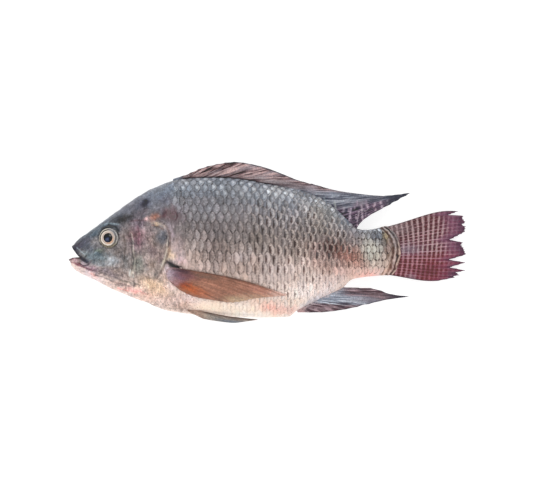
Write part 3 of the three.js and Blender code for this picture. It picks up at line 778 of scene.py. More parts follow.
def scale_material():
    """cell holds the height on the plate from -1 to 1, and the millimetres behind the plate that
    covers it and ahead of its own rim; marks holds how strong its painted shade behind the covering rim, its
    painted glint and its dark spot are."""
    wet = Shader("wet_scales", roughness=0.36, coat=0.3, subsurface=0.03)
    across, behind, ahead = wet.parts("cell")
    shade_strength, glint, spot_dark = wet.parts("marks")
    grain = wet.noise(1500)
    waver = wet.math("SUBTRACT", wet.noise(800), 0.5)
    behind = wet.math("MULTIPLY_ADD", waver, 2.6, behind)
    across = wet.math("MULTIPLY_ADD", waver, 0.8, across)
    pale_rim = wet.times(wet.between(ahead, 3.2, 0.8), spot_dark, 0.22)
    colour = wet.mixed(pale_rim, wet.field("tone"), (212, 196, 186))
    spot = wet.ellipse(behind, across, 0.85, -0.05, 2.45, 0.66)
    colour = wet.darkened(wet.times(spot, spot_dark), colour, (112, 92, 87))
    # painted glint: a pale bluish-white spot near the rim
    shine = wet.ellipse(ahead, across, 2.4, 0.1, 1.3, 0.45)
    colour = wet.mixed(wet.times(shine, glint), colour, (222, 226, 232))
    # painted shade: darker just behind the rim of the scale that covers this one, widest at mid-height
    tapered = wet.math("MULTIPLY_ADD", wet.times(across, across), -1.7, 2.3)
    shade_behind_rim = wet.times(wet.between(behind, tapered, 0.2), shade_strength)
    colour = wet.darkened(shade_behind_rim, colour, (112, 101, 100))
    rim_shade = wet.times(wet.between(ahead, 0.5, 0.1), shade_strength, 0.7)
    colour = wet.darkened(rim_shade, colour, (140, 128, 124))
    # painted glint: a thin pale line just inside the rim
    rim_glint = wet.times(wet.between(ahead, 1.1, 0.7), wet.between(ahead, 0.2, 0.5), glint, 0.6)
    colour = wet.mixed(rim_glint, colour, (214, 214, 216))
    middle_noise, coarse_noise = wet.varied(wet.noise(750, 2), 0.8), wet.varied(wet.noise(420, 2), 0.5)
    colour = wet.grained(colour, wet.times(wet.varied(grain, 0.7), middle_noise, coarse_noise))
    growth_lines = wet.math("SINE", wet.times(ahead, 14.0))
    height = wet.math("ADD", grain, wet.times(growth_lines, 0.1))
    roughness = wet.math("ADD", 0.26, wet.times(grain, 0.24))
    return wet.finish(colour, height, 0.00012, roughness)


def fin_material(name):
    wet = Shader(name, roughness=0.4, coat=0.25, subsurface=0.1)
    grain = wet.noise(1300)
    light = wet.times(wet.varied(grain, 0.8), wet.varied(wet.noise(700, 2), 0.5))
    height = wet.math("ADD", grain, wet.times(wet.noise(3000, 2), 0.4))
    roughness = wet.math("ADD", 0.32, wet.times(grain, 0.25))
    return wet.finish(wet.scaled(wet.field("tone"), light), height, 0.00014, roughness)


def eye_material():
    wet = Shader("wet_eye", roughness=0.25, coat=0.3, subsurface=0.0)
    wet.surface.inputs["IOR"].default_value = 1.2
    wet.surface.inputs["Coat Roughness"].default_value = 0.03
    grain = wet.noise(1600)
    return wet.finish(wet.scaled(wet.field("tone"), wet.varied(grain, 0.5)), grain, 0.00002)


# ---- Skin ------------------------------------------------------------------------------------

# The mouth pocket's rings, each as a share of the ring of the lips.
POCKET_SIZES = [0.04, 0.12, 0.22, 0.34, 0.46, 0.58, 0.7, 0.8, 0.88, 0.94, 0.98]
THROAT = (66, 44, 48)
INNER_LIP = (176, 134, 136)
HEAD_RINGS, HEAD_CROWDING = 110, 1.15     # closer rings near the lips
SHOULDER_END, SHOULDER_STEP = 30, 0.15
TRUNK_END, TRUNK_RINGS = 76, 60
STALK_RINGS = 34
CLOSING_LENGTH, CLOSING_RINGS = 0.6, 8    # the rounded end of the stalk, inside the tail
CLOSED_TO = 0.02


def skin_grid():
    """The body's surface as a grid of rings, with the outline place of each point."""
    angle = np.linspace(0, 2 * np.pi, RING_CORNERS, endpoint=False)[None, :]
    head = np.linspace(0, 1, HEAD_RINGS, endpoint=False) ** HEAD_CROWDING
    shoulder = np.arange(HEAD_RINGS_END, SHOULDER_END, SHOULDER_STEP)
    trunk = np.linspace(SHOULDER_END, TRUNK_END, TRUNK_RINGS, endpoint=False)
    stalk = np.linspace(TRUNK_END, STALK_END - CLOSING_LENGTH, STALK_RINGS)
    closing = STALK_END - CLOSING_LENGTH * np.linspace(1, 0, CLOSING_RINGS)[1:] ** 2
    upright = np.concatenate([np.full(HEAD_RINGS, HEAD_RINGS_END), shoulder, trunk, stalk, closing])
    share = np.concatenate([head, np.ones(len(upright) - HEAD_RINGS)])
    along, up, height = ring_points(share[:, None], upright[:, None], angle)
    height[-len(closing):] *= np.sqrt(np.linspace(1, CLOSED_TO, len(closing)))[:, None]
    points = place(along, up, height)
    girth = girth_of(points)
    points += normals_of(points) * (relief(along, up, girth) * MM)[..., None]
    return upright, along, up, girth, points


def skin_map(rings, row, column):
    """Places in the bake map: one strip for the cells at each row and column, and its two fans."""
    margin, tip_margin = 0.01, 0.002
    steps = np.linalg.norm(np.diff(rings, axis=0), axis=-1).mean(1) + 1e-5
    lengths = np.concatenate([[0], np.cumsum(steps)])
    across = margin + (1 - 2 * margin) * lengths / lengths[-1]
    turn = margin + (1 - 2 * margin) * np.arange(RING_CORNERS + 1) / RING_CORNERS
    cells = np.stack([
        np.stack([across[row], across[row + 1], across[row + 1], across[row]], -1),
        np.stack([turn[column], turn[column], turn[column + 1], turn[column + 1]], -1),
    ], -1)
    middle = (turn[:-1] + turn[1:]) / 2
    fans = np.zeros((2, RING_CORNERS, 3, 2))
    fans[0, :, :, 0] = [tip_margin, margin, margin]
    fans[1, :, :, 0] = [1 - tip_margin, 1 - margin, 1 - margin]
    fans[0, :, :, 1] = np.stack([middle, turn[:-1], turn[1:]], -1)
    fans[1, :, :, 1] = np.stack([middle, turn[1:], turn[:-1]], -1)
    return np.concatenate([cells.reshape(-1, 2), fans.reshape(-1, 2)])


def build_skin(grid):
    _, along, up, girth, points = grid
    pocket = place(*np.array(MOUTH_POCKET_END), 0)
    rings = np.concatenate([np.array([mix(pocket, points[0], size) for size in POCKET_SIZES]), points])
    colour = skin_colour(along, up, girth)
    depth = np.array(POCKET_SIZES)[:, None]
    inside = shades(depth**2, THROAT, INNER_LIP)
    inside = mix(inside, colour[:1], smooth_step(0.85, 1, depth)[..., None])
    colour = np.concatenate([inside, colour])
    smooth_belly = smooth_step(30, 35, along) * smooth_step(54, 50, along) * smooth_step(-14, -15.5, up)
    speckled = smooth_step(-8, -11, up) * smooth_step(14, 22, along) * (1 - 0.85 * smooth_belly)
    tone = albedo(np.concatenate([colour.reshape(-1, 3), [THROAT, colour[-1].mean(0)]]))
    marks = np.zeros((len(tone), 3))
    marks[inside[..., 0].size:-2, 0] = speckled.ravel()
    quads, row, column = grid_quads(len(rings), RING_CORNERS, closed=True)
    flat = np.concatenate([rings.reshape(-1, 3), [pocket], [rings[-1].mean(0)]])
    fans, uv = end_fans(len(rings), RING_CORNERS), skin_map(rings, row, column)
    fields = {"tone": tone, "marks": marks}
    return make_piece("skin", pressed(flat), quads, fans, uv, fields, skin_material(), ["body"])


# ---- Scales ----------------------------------------------------------------------------------

SCALE_FRONT = [   # where the scales begin, as [up, along]
    [-18.7, 38], [-16, 35], [-14, 33], [-9, 31.5], [-4, 29.2], [0, 28.2], [4, 27.2], [6.5, 26.6],
    [8.6, 24.8], [12, 23.8], [16, 26.5],
]
COLUMN_STEP = [[16, 1.85], [30, 1.93], [47, 1.96], [56, 1.6], [70, 1.5], [82, 1.45]]
ROW_STEP = [[16, 2.3], [30, 2.5], [47, 2.6], [56, 2.25], [70, 1.95], [82, 1.75]]
FIRST_COLUMN = 17.0
ROWS = range(-14, 16)                     # from the flank's middle, positive towards the back
ROW_LEAN = 0.08                           # how steeply all rows fall towards the stalk
LEAN_START, LEAN_LENGTH = 52, 16
ROW_CROWDING = 0.022                      # how much closer the rows lie with each row up the back
KEEP_OFF_BELLY, KEEP_OFF_BACK = 0.1, 0.15     # in row steps
KEEP_OFF_TAIL = 2
PLATE_ROWS, PLATE_COLUMNS = 7, 9          # points from a plate's front to its rim, and along the rim
PLATE_DEPTH = 1.25                        # from the rim's tip to the buried front, in column steps
HALF_HEIGHT = 0.74                        # in row steps
RIM_BULGE = 0.58                          # how far the rim's tip lies behind its ends, in column steps
RIM_LIFT = 0.42                           # of the rim over the skin where columns are LARGEST_STEP apart
LARGEST_STEP = 1.96
FRONT_DEPTH = 0.22                        # of the front under the skin, in millimetres
RIM_THICKNESS = 0.14
KEEL_DEPTH = 0.4                          # of the point under the plate that closes it
KEEL_ROW = 2                              # of the top grid, over that point
UNEVEN_PLACES = 0.055                     # spread of the plates' places
DRIFT = 0.5                               # how far whole regions of plates are shifted
GIRTH_LEVELS = 600                        # of the table that finds places round the girth
scale_front = line_through(SCALE_FRONT)
column_step = line_through(COLUMN_STEP)
row_step = line_through(ROW_STEP)


def rim_at(height):
    """Where a plate's rim lies at a height given in row steps: column steps behind the rim's tip."""
    return -RIM_BULGE * (np.abs(height) / HALF_HEIGHT) ** 2


class Flank:
    """Looks up points of the skin by distance along the fish and round its girth."""

    def __init__(self, grid, side):
        upright, _, _, _, points = grid
        first = np.argmax(upright > HEAD_RINGS_END)
        half = RING_CORNERS // 2
        turn = np.arange(half + 1) if side > 0 else (RING_CORNERS - np.arange(half + 1)) % RING_CORNERS
        self.along = upright[first:]
        self.points = points[first:][:, turn]
        self.normals = normals_of(points)[first:][:, turn]
        self.girth = girth_from_middle(self.points[..., 1:])
        self.levels = np.linspace(self.girth.min(), self.girth.max(), GIRTH_LEVELS)
        steps = np.arange(half + 1)
        self.turns = np.array([np.interp(self.levels, row[::-1], steps[::-1]) for row in self.girth])

    def limits(self, along):
        top = np.interp(along, self.along, self.girth[:, 0])
        bottom = np.interp(along, self.along, self.girth[:, -1])
        return bottom, top

    def sample(self, table, i, j):
        """The table's value at fractional places."""
        i = np.clip(i, 0, table.shape[0] - 1.001)
        j = np.clip(j, 0, table.shape[1] - 1.001)
        i0, j0 = i.astype(int), j.astype(int)
        u, v = i - i0, j - j0
        if table.ndim == 3:
            u, v = u[..., None], v[..., None]
        near = mix(table[i0, j0], table[i0 + 1, j0], u)
        return mix(near, mix(table[i0, j0 + 1], table[i0 + 1, j0 + 1], u), v)

    def at(self, along, girth):
        """Points of the skin and their normals."""
        i = np.interp(along, self.along, np.arange(len(self.along)))
        level = (girth - self.levels[0]) / (self.levels[1] - self.levels[0])
        turn = self.sample(self.turns, i, level)
        return self.sample(self.points, i, turn), self.sample(self.normals, i, turn)


def plate_tips(flank):
    """Rim tips of the scales, as distance along the fish, girth and row step: a staggered lattice."""
    found = []
    along, step = FIRST_COLUMN, 0
    while along < STALK_END:
        bottom, top = flank.limits(along)
        lean = ROW_LEAN * min(max(along - LEAN_START, 0), LEAN_LENGTH)
        for row in ROWS:
            crowding = ROW_CROWDING * max(row, 0)
            pitch = float(row_step(along)) * (1 - crowding)
            girth = row * pitch - lean
            inside = bottom + KEEP_OFF_BELLY * pitch < girth < top - KEEP_OFF_BACK * pitch
            if (row + step) % 2 or not inside:
                continue
            point, _ = flank.at(np.array(along), np.array(girth))
            outline, up = outline_of(point)
            if along > scale_front(up) and outline < tail_ring(up) - KEEP_OFF_TAIL:
                found.append((along, girth, pitch * (1 - crowding / 2)))
        along += float(column_step(along)) / 2
        step += 1
    return np.array(found)


def scale_marks(along, up, share, count, rng):
    """How strong the painted shade behind the covering rim, the painted glint and the dark spot of each scale
    are.
    """
    def chance(low, high):
        return rng.uniform(low, high, (count, 1, 1))

    grown = smooth_step(-0.3, 4, along - scale_front(up))
    rearward = smooth_step(38, 54, along)
    stalk = smooth_step(70, 74, along)
    # painted shade behind the covering scale's rim
    shade_behind_rim = np.interp(share, [0.1, 0.2, 0.32, 0.45, 0.7, 0.9], [0.05, 0.3, 0.7, 1, 1, 0.8])
    shade_behind_rim = np.maximum(shade_behind_rim, 0.9 * rearward * smooth_step(0.02, 0.1, share))
    shade_behind_rim = shade_behind_rim * mix(0.3, 1, grown) * mix(1, 0.7, rearward * (1 - stalk)) * mix(1, 1.9, stalk)
    shade_behind_rim = shade_behind_rim * chance(0.75, 1.15)
    spot = np.interp(share, [0.04, 0.12, 0.3, 0.55, 0.7, 0.85], [0.1, 0.4, 0.5, 0.45, 0.25, 0.2])
    rear_spot = np.interp(share, [0.02, 0.06, 0.3, 0.5, 0.75, 0.9], [0.35, 0.6, 0.9, 1.25, 1.25, 0.6])
    spot = mix(spot, rear_spot, rearward)
    spot = spot * mix(0.2, 1, grown) * mix(chance(0.55, 1.1), chance(0.4, 1.25), rearward)
    spot = spot * mix(1, 0.12, stalk)
    dotted = bell(share - 0.11, 0.05) * smooth_step(36, 40, along) * smooth_step(57, 54, along)
    spot = np.maximum(spot, 0.55 * dotted)
    # painted glints: pale marks for the wet scales' highlights, most on the top rows and in a streak on the
    # upper back
    streak_glints = bell((along - 49) / 4.5, 1) * bell((up - 11.5) / 3, 1)
    glint = np.interp(share, [0.5, 0.86, 0.92, 0.96, 1], [0.06, 0.15, 0.5, 0.95, 0.5]) * chance(0, 1) ** 1.5
    glint = np.clip(glint + 0.8 * streak_glints * chance(0, 1) ** 1.5, 0, 1) * mix(0.3, 1, grown)
    return np.stack([shade_behind_rim, glint, spot], -1)


def plate_faces(side):
    """The rim's points in a plate's top grid, and the plate's faces: quads of the top and of the
    walls to a ring below the rim, and triangles from that ring to the point under the plate."""
    above = PLATE_ROWS * PLATE_COLUMNS
    rim = rim_of(PLATE_ROWS, PLATE_COLUMNS)
    keel = above + len(rim)
    step = np.arange(len(rim))
    beside = np.roll(step, -1)
    cells, _, _ = grid_quads(PLATE_ROWS, PLATE_COLUMNS)
    walls = np.stack([rim, rim[beside], above + beside, above + step], -1)
    floor = np.stack([np.full(len(rim), keel), above + step, above + beside], -1)
    if side > 0:
        walls, floor = walls[:, ::-1], floor[:, ::-1]
    else:
        cells = cells[:, ::-1]
    return rim, np.concatenate([cells, walls]), floor


def plate_map(count, rim, quads, floor):
    """Places in the bake map: a square for each plate, with its top left of its floor."""
    corner, size = [0.05, 0.07], [0.74, 0.86]
    floor_corner, floor_size = [0.86, 0.07], [0.1, 0.86]
    keel = [[0.4, 0.5]], [[0.91, 0.5]]
    rows, columns = np.linspace(0, 1, PLATE_ROWS), np.linspace(0, 1, PLATE_COLUMNS)
    flat = np.stack(np.meshgrid(rows, columns, indexing="ij"), -1).reshape(-1, 2)
    top = corner + flat * size
    wall = corner + (0.5 + (flat[rim] - 0.5) * 1.06) * size
    below = floor_corner + flat[rim] * floor_size
    squares = int(np.ceil(np.sqrt(count)))
    square = np.arange(count)
    shift = np.stack([square % squares, square // squares], -1)[:, None, None]
    tops = np.concatenate([top, wall, keel[0]])[quads][None] + shift
    floors = np.concatenate([top, below, keel[1]])[floor][None] + shift
    return np.concatenate([tops.reshape(-1, 2), floors.reshape(-1, 2)]) / squares


def build_scales(grid, side, name):
    flank = Flank(grid, side)
    rng = np.random.default_rng(20 + side)
    tips = plate_tips(flank)
    count = len(tips)
    a = np.linspace(0, 1, PLATE_ROWS)[None, :, None]
    b = np.linspace(-1, 1, PLATE_COLUMNS)[None, None, :]
    jitter = rng.normal(0, UNEVEN_PLACES, (3, count, 1, 1))
    along, girth, high = (tips[:, k, None, None] for k in range(3))
    drift = [DRIFT * uneven(along, girth, 9, seed) for seed in (33, 37)]
    along, girth = along + jitter[0] + drift[0], girth + jitter[1] + drift[1]
    wide = column_step(along)
    rim_place = rim_at(b * HALF_HEIGHT)
    local = mix(-PLATE_DEPTH, rim_place, a) * np.ones((count, 1, 1))
    base, normal = flank.at(along + (local + jitter[2] * b) * wide, girth + b * HALF_HEIGHT * high)
    centre, _ = flank.at(along - 0.45 * wide, girth)
    centre_along, centre_up = outline_of(centre)
    share = depth_share(centre_along, centre_up)
    lift = RIM_LIFT * wide / LARGEST_STEP * mix(0.3, 1, smooth_step(0.08, 0.35, share))
    lift = lift * mix(0.3, 1, smooth_step(0, 5, centre_along - scale_front(centre_up)))
    sunk = -FRONT_DEPTH * mix(0.45, 1, smooth_step(0.08, 0.3, share))
    rise = mix(sunk, lift * rng.uniform(0.8, 1.2, (count, 1, 1)), 1 + local / PLATE_DEPTH)
    top = base + normal * (rise * MM)[..., None]

    covered = np.maximum(-1 + rim_place, -0.5 + rim_at(1 - np.abs(b) * HALF_HEIGHT))
    behind = (local - covered) * wide * UNIT_MM
    ahead = (rim_place - local) * wide * UNIT_MM
    cell = np.stack([b + 0 * local, behind, ahead], -1)
    own = skin_colour(centre_along, centre_up)
    colour = mix(own, skin_colour(*outline_of(top)), 0.5)
    rear = smooth_step(50, 60, centre_along) * smooth_step(74, 70, centre_along)
    strength = np.maximum(smooth_step(0.08, 0.45, share), 0.6 * rear) * mix(1, 1.6, rear)
    strength = strength * mix(1, 0.3, smooth_step(165, 215, own[..., 1]))
    colour = colour * (1 + rng.normal(0.06, 0.08, (count, 1, 1, 1)) * strength[..., None])
    marks = np.broadcast_to(scale_marks(centre_along, centre_up, share, count, rng), cell.shape)

    rim, plate_quads, plate_floor = plate_faces(side)
    under = (top - normal * RIM_THICKNESS * MM).reshape(count, -1, 3)
    over_keel = (slice(None), KEEL_ROW, PLATE_COLUMNS // 2)
    keel = top[over_keel] - normal[over_keel] * KEEL_DEPTH * MM
    points = np.concatenate([top.reshape(count, -1, 3), under[:, rim], keel[:, None]], 1)
    first = (np.arange(count) * points.shape[1])[:, None, None]
    quads = (plate_quads[None] + first).reshape(-1, 4)
    triangles = (plate_floor[None] + first).reshape(-1, 3)
    uv = plate_map(count, rim, plate_quads, plate_floor)

    def spread(values):
        values = values.reshape(count, -1, 3)
        return np.concatenate([values, values[:, rim], values.mean(1, keepdims=True)], 1).reshape(-1, 3)

    fields = {"tone": spread(albedo(colour)), "cell": spread(cell), "marks": spread(marks)}
    return make_piece(name, pressed(points.reshape(-1, 3)), quads, triangles, uv, fields, SCALES, [])


# ---- Fins ------------------------------------------------------------------------------------

FIN_MAP_MIDDLE = np.array([0.5, 0.24])   # of the upper face's part of the bake map
FIN_MAP_BELOW = np.array([0, 0.5])       # from it to the lower face's part


def fin_map(ray, reach, quads, rim, beside):
    """Places in the bake map for the upper face, the lower face and the walls round the rim."""
    flat = np.stack([0.02 + 0.96 * ray, 0.02 + 0.44 * reach], -1).reshape(-1, 2)
    wall = FIN_MAP_MIDDLE + (flat - FIN_MAP_MIDDLE) * [1.02, 1.03]
    walls = np.stack([flat[rim], flat[beside], wall[beside], wall[rim]], 1)
    parts = [flat[quads[:, ::-1]], (flat + FIN_MAP_BELOW)[quads], walls]
    return np.concatenate([part.reshape(-1, 2) for part in parts])


def fin_sheet(name, fin, nodes):
    """A thin slab with raised rays between a root path and an edge path. fin's functions take
    ray, the place from the front ray (0) to the last one (1), and reach, from root to edge."""
    columns, rows = fin["columns"] + 1, fin["rows"] + 1
    across = np.linspace(0, 1, columns)
    ray, reach = np.meshgrid(across, np.linspace(0, 1, rows), indexing="ij")
    root, edge = fin["root"](across)[:, None], fin["edge"](across)[:, None]
    places = mix(root, edge, reach[..., None])
    along, up = places[..., 0], places[..., 1]
    if "bow" in fin:
        up = up + fin["bow"](ray, reach)
    between = np.abs(np.sin(np.pi * fin["rays"] * ray))
    half = mix(fin["root_half"], fin["edge_half"], reach) * (0.5 + 0.5 * (1 - between) ** 1.5)
    middle = fin["height"](along, up, reach)
    middle = np.maximum(middle, half - midplane(along))
    faces = [place(along, up, middle + half), place(along, up, middle - half)]
    points = np.concatenate([face.reshape(-1, 3) for face in faces])
    points[:, 2] = np.maximum(points[:, 2], 0)
    colour = fin["colour"](along, up, ray, reach, between)
    tone = albedo(np.concatenate([colour.reshape(-1, 3)] * 2))

    quads, _, _ = grid_quads(columns, rows)
    below = columns * rows
    rim = rim_of(columns, rows)
    beside = np.roll(rim, -1)
    walls = np.stack([rim, beside, below + beside, below + rim], -1)
    every = np.concatenate([quads[:, ::-1], below + quads, walls])
    uv = fin_map(ray, reach, quads, rim, beside)
    nothing = np.zeros((0, 3), int)
    return make_piece(name, points, every, nothing, uv, {"tone": tone}, fin["material"], nodes)


def fanned_root(outline, fan, inward):
    """A root under the outline; fan says how far along the fish each ray starts."""
    def root(ray):
        along = np.interp(ray, *np.array(fan, float).T)
        return np.stack([along, outline(along) + inward], -1)

    return root


def in_midplane(along, up, reach):
    return 0 * reach


def along_flank(side):
    """The height of a fin that grows out of the flank and lies on it."""
    def height(along, up, reach):
        off_skin = mix(-1.5, 0.5, smooth_step(0, 0.035, reach)) + 0.4 * smooth_step(0.1, 0.3, reach)
        return side * (flank_height(along, up) + swelling(along, up, SIDE_FIN_BASE) + off_skin)

    return height


BACK_FIN_LINES = [   # pale ray ends and folds of the rear lobe
    ([[64.1, 11.2], [64.7, 9.4]], 0.16, (168, 178, 184), 0.75),
    ([[66.7, 10.1], [67.1, 7.9]], 0.16, (196, 200, 194), 0.8),
    ([[69.1, 8.9], [69.1, 7.6]], 0.16, (190, 184, 190), 0.75),
    ([[70.9, 8.6], [70.2, 4.6]], 0.17, (206, 190, 204), 0.9),
    ([[72.8, 7.8], [72.4, 5.1]], 0.16, (196, 180, 190), 0.85),
    ([[72.4, 10.3], [72.4, 9.2]], 0.2, (164, 146, 160), 0.7),
    ([[74.7, 10.4], [74.7, 9.2]], 0.2, (164, 146, 160), 0.7),
    ([[73.4, 8.2], [74.6, 7.9]], 0.18, (196, 184, 188), 0.7),
    ([[74.6, 7.4], [74.5, 6.6]], 0.16, (176, 160, 170), 0.7),
    ([[76.4, 9.3], [77, 8.3]], 0.18, (160, 134, 144), 0.6),
    ([[66.2, 11.7], [68, 11.7]], 0.12, (190, 200, 208), 0.6),
    ([[69, 11.3], [71.4, 11.4]], 0.12, (176, 186, 198), 0.6),
]
BACK_FIN_SPOTS = [
    (61, 13.6, 1.7, 1.2, (198, 190, 198), 0.55),
    (66.3, 11.8, 1.6, 1, (176, 184, 200), 0.45),
    (73.6, 9.6, 1.4, 1, (176, 162, 168), 0.45),
    (81.2, 9.6, 2, 1.2, (96, 94, 102), 0.6),
]


def back_fin_colour(along, up, ray, reach, between):
    streak = uneven(ray * 90, reach * 3, 1, 41)
    fine = uneven(ray * 170, reach * 5, 1, 42)
    broad = uneven(ray * 26, reach * 2, 1, 44)
    over_back = up - back_line(along)
    spiny = shades(smooth_step(-0.5, 0.5, streak + 0.5 * fine + 0.5 * broad), (60, 40, 44), (206, 178, 176))
    spiny = blot(spiny, 0.6 * smooth_step(0.1, 0.5, uneven(ray * 40, reach * 2, 1, 47)), (146, 138, 146))
    spiny = blot(spiny, 0.5 * bell(over_back - 0.9, 0.6) * smooth_step(-0.1, 0.3, broad), (136, 132, 136))
    # painted shadow: a dark line along the fin's foot where it meets the back
    base = bell(over_back - 0.1, 0.27) * smooth_step(60, 50, along)
    greyed = bell(over_back - 1.1, 0.8) * smooth_step(44, 49, along) * smooth_step(63, 60, along)
    spiny = blot(spiny, 0.6 * greyed, (160, 152, 156))
    spiny = blot(spiny, 0.8 * base, (40, 36, 40))
    over = shades(smooth_step(-0.5, 0.5, streak + 0.5 * fine), (68, 70, 82), (160, 162, 172))
    under = shades(smooth_step(-0.5, 0.5, uneven(ray * 110, reach * 4, 1, 50)), (38, 28, 46), (112, 92, 110))
    under = blot(under, 0.5 * smooth_step(0.55, 0.75, reach) * smooth_step(0.1, 0.5, broad), (156, 118, 124))
    soft = mix(over, under, smooth_step(0.74, 0.8, ray + 0.05 * broad)[..., None])
    lower = smooth_step(0.74, 0.8, ray)
    soft = blot(soft, 0.7 * bell(between, 0.25) * lower, (166, 154, 168))
    bars = np.cos(2 * np.pi * (along + 0.15 * up - 0.4 * uneven(along, up, 2, 53)) / 1.7)
    dashes = smooth_step(0.5, 0.9, bars) * smooth_step(-0.05, 0.25, uneven(ray * 34, reach * 4, 1, 56))
    soft = blot(soft, 0.9 * dashes * lower, (208, 188, 200))
    colour = mix(spiny, soft, smooth_step(0.46, 0.62, ray - 0.1 * (reach - 0.6))[..., None])
    colour = with_spots(colour, along, up, BACK_FIN_SPOTS)
    colour = with_lines(colour, along, up, BACK_FIN_LINES)
    tip = smooth_step(78, 82, along)
    colour = blot(colour, 0.8 * smooth_step(0.94, 1, reach) + 0.8 * tip, (54, 58, 68))
    return blot(colour, smooth_step(29.5, 27.5, along), (124, 130, 142))


VENT_FIN_SHADE = (76, -14.6, 4.5, 1, (110, 102, 110), 0.7)


def vent_fin_colour(along, up, ray, reach, between):
    streak = uneven(ray * 48, reach * 3, 1, 61) + 0.5 * bell(between, 0.3) - 0.2
    blue = shades(smooth_step(-0.45, 0.45, streak), (126, 132, 146), (206, 212, 222))
    blue = with_spots(blue, along, up, [VENT_FIN_SHADE])
    brown = shades(smooth_step(-0.4, 0.5, streak), (82, 66, 71), (184, 160, 166))
    from_top = up + 11.3 + 0.012 * (along - 69) ** 2 + 0.8 * streak
    from_front = up + 15.2 + 0.05 * (along - 59.5) + 0.4 * streak
    behind = smooth_step(67, 71, along + streak)
    browned = np.maximum(smooth_step(-2.6, -1.5, from_top) * behind, smooth_step(0.3, -0.3, from_front))
    colour = mix(blue, brown, browned[..., None])
    dark = smooth_step(0.3, 0.6, uneven(ray * 30, reach * 5, 1, 64))
    dark = np.maximum(dark, bell(along - 69.2, 1.4) * bell(up + 15.5, 0.35))
    colour = blot(colour, 0.8 * dark, (62, 56, 66))
    edge = smooth_step(0.93, 1, reach) + smooth_step(0.03, 0, ray) * smooth_step(0.2, 0.5, reach)
    colour = blot(colour, 0.75 * edge + 0.7 * smooth_step(78, 82, along), (58, 56, 66))
    ragged_skin = smooth_step(1.3, 0.1, belly_line(along) - up) * smooth_step(70, 66, along)
    ragged_skin = ragged_skin * smooth_step(-0.15, 0.3, uneven(along, up, 0.9, 67))
    colour = blot(colour, 0.85 * ragged_skin, (206, 192, 194))
    return blot(colour, smooth_step(60, 58.6, along), (180, 152, 152))


TAIL_SPOTS = [
    (90, -7.4, 4, 1.6, (92, 38, 50), 0.55),
    (86, -8.8, 1.4, 1, (160, 146, 154), 0.6),
    (96.2, -8.3, 1.5, 1, (82, 68, 84), 0.5),
]


def tail_colour(along, up, ray, reach, between):
    front = smooth_step(95, 82, along)
    behind = along + 0.017 * (up + 1.6) ** 2 * front - 0.1 * (up + 1.5) * (1 - front)
    bar = 0.5 + 0.5 * np.cos(2 * np.pi * (behind - 84.1) / mix(1.18, 1.27, front))
    bar = smooth_step(0.42, 0.92, bar + 0.45 * uneven(along, up, 0.8, 71))
    lower = smooth_step(0.5, 0.66, ray)
    dark = shades(lower, (92, 54, 60), (96, 34, 46))
    dark = blot(dark, 0.6 * smooth_step(0.45, 0.2, ray) * front, (72, 54, 52))
    pale = shades(lower, (172, 146, 146), (166, 116, 124))
    colour = mix(dark, pale, bar[..., None])
    fade = smooth_step(0.66, 0.86, reach)
    colour = mix(colour, shades(lower, (120, 80, 100), (126, 76, 92)), (0.8 * fade)[..., None])
    thin = bell(between, 0.42) * smooth_step(-0.5, 0.2, uneven(ray * 20, reach * 2.5, 1, 74))
    centre = bell(ray - 0.48, 0.3)
    colour = blot(colour, thin * mix(0.45, 0.95, centre) * smooth_step(0.95, 0.7, reach), (196, 160, 168))
    red = smooth_step(0.62, 0.8, ray) * smooth_step(0.3, 0.6, reach)
    red = red * smooth_step(-0.2, 0.4, uneven(along, up, 2.4, 77))
    colour = blot(colour, 0.25 * red, (132, 50, 62))
    colour = with_spots(colour, along, up, TAIL_SPOTS)
    grey = smooth_step(0.3, 0.1, ray) * smooth_step(0.5, 0.2, reach)
    colour = blot(colour, 0.45 * grey, (158, 146, 148))
    blue = bell(ray - 0.5, 0.1) * bell(reach - 0.25, 0.2)
    colour = blot(colour, 0.5 * blue, (150, 142, 158))
    colour = blot(colour, 0.5 * bell(between, 0.3) * smooth_step(0.8, 0.9, reach), (172, 134, 152))
    side = np.minimum(ray, 1 - ray)
    colour = blot(colour, 0.6 * smooth_step(0.03, 0, side), (84, 76, 82))
    return blot(colour, 0.75 * smooth_step(0.86, 1, reach), (76, 54, 70))


SIDE_FIN_PATCHES = [
    (25.2, -8.4, 1.5, 2.4, 0, (188, 168, 176), 0.9),
    (26.9, -7.6, 1.4, 1.4, -20, (146, 132, 148), 0.85),
    (28.4, -8.8, 1.5, 1.3, -10, (124, 96, 114), 0.85),
    (27.2, -10.2, 1.2, 0.9, -10, (172, 132, 140), 0.7),
    (30, -8.2, 2.6, 0.9, -12, (114, 78, 82), 0.85),
    (28.6, -7.1, 2.2, 0.5, -12, (78, 58, 66), 0.85),
    (29.6, -10.7, 1.2, 0.8, -15, (142, 76, 66), 0.85),
    (31, -11.8, 2.2, 1, -15, (182, 98, 62), 0.9),
    (33.5, -12.6, 2, 0.8, -15, (170, 102, 76), 0.7),
    (34.2, -8.5, 3, 0.5, -8, (118, 94, 84), 0.7),
    (41.5, -14.2, 2.4, 0.8, -5, (148, 126, 96), 0.6),
    (48.5, -12.3, 3, 0.8, -15, (172, 120, 106), 0.7),
    (53, -13.1, 2, 0.6, -10, (184, 142, 130), 0.6),
]


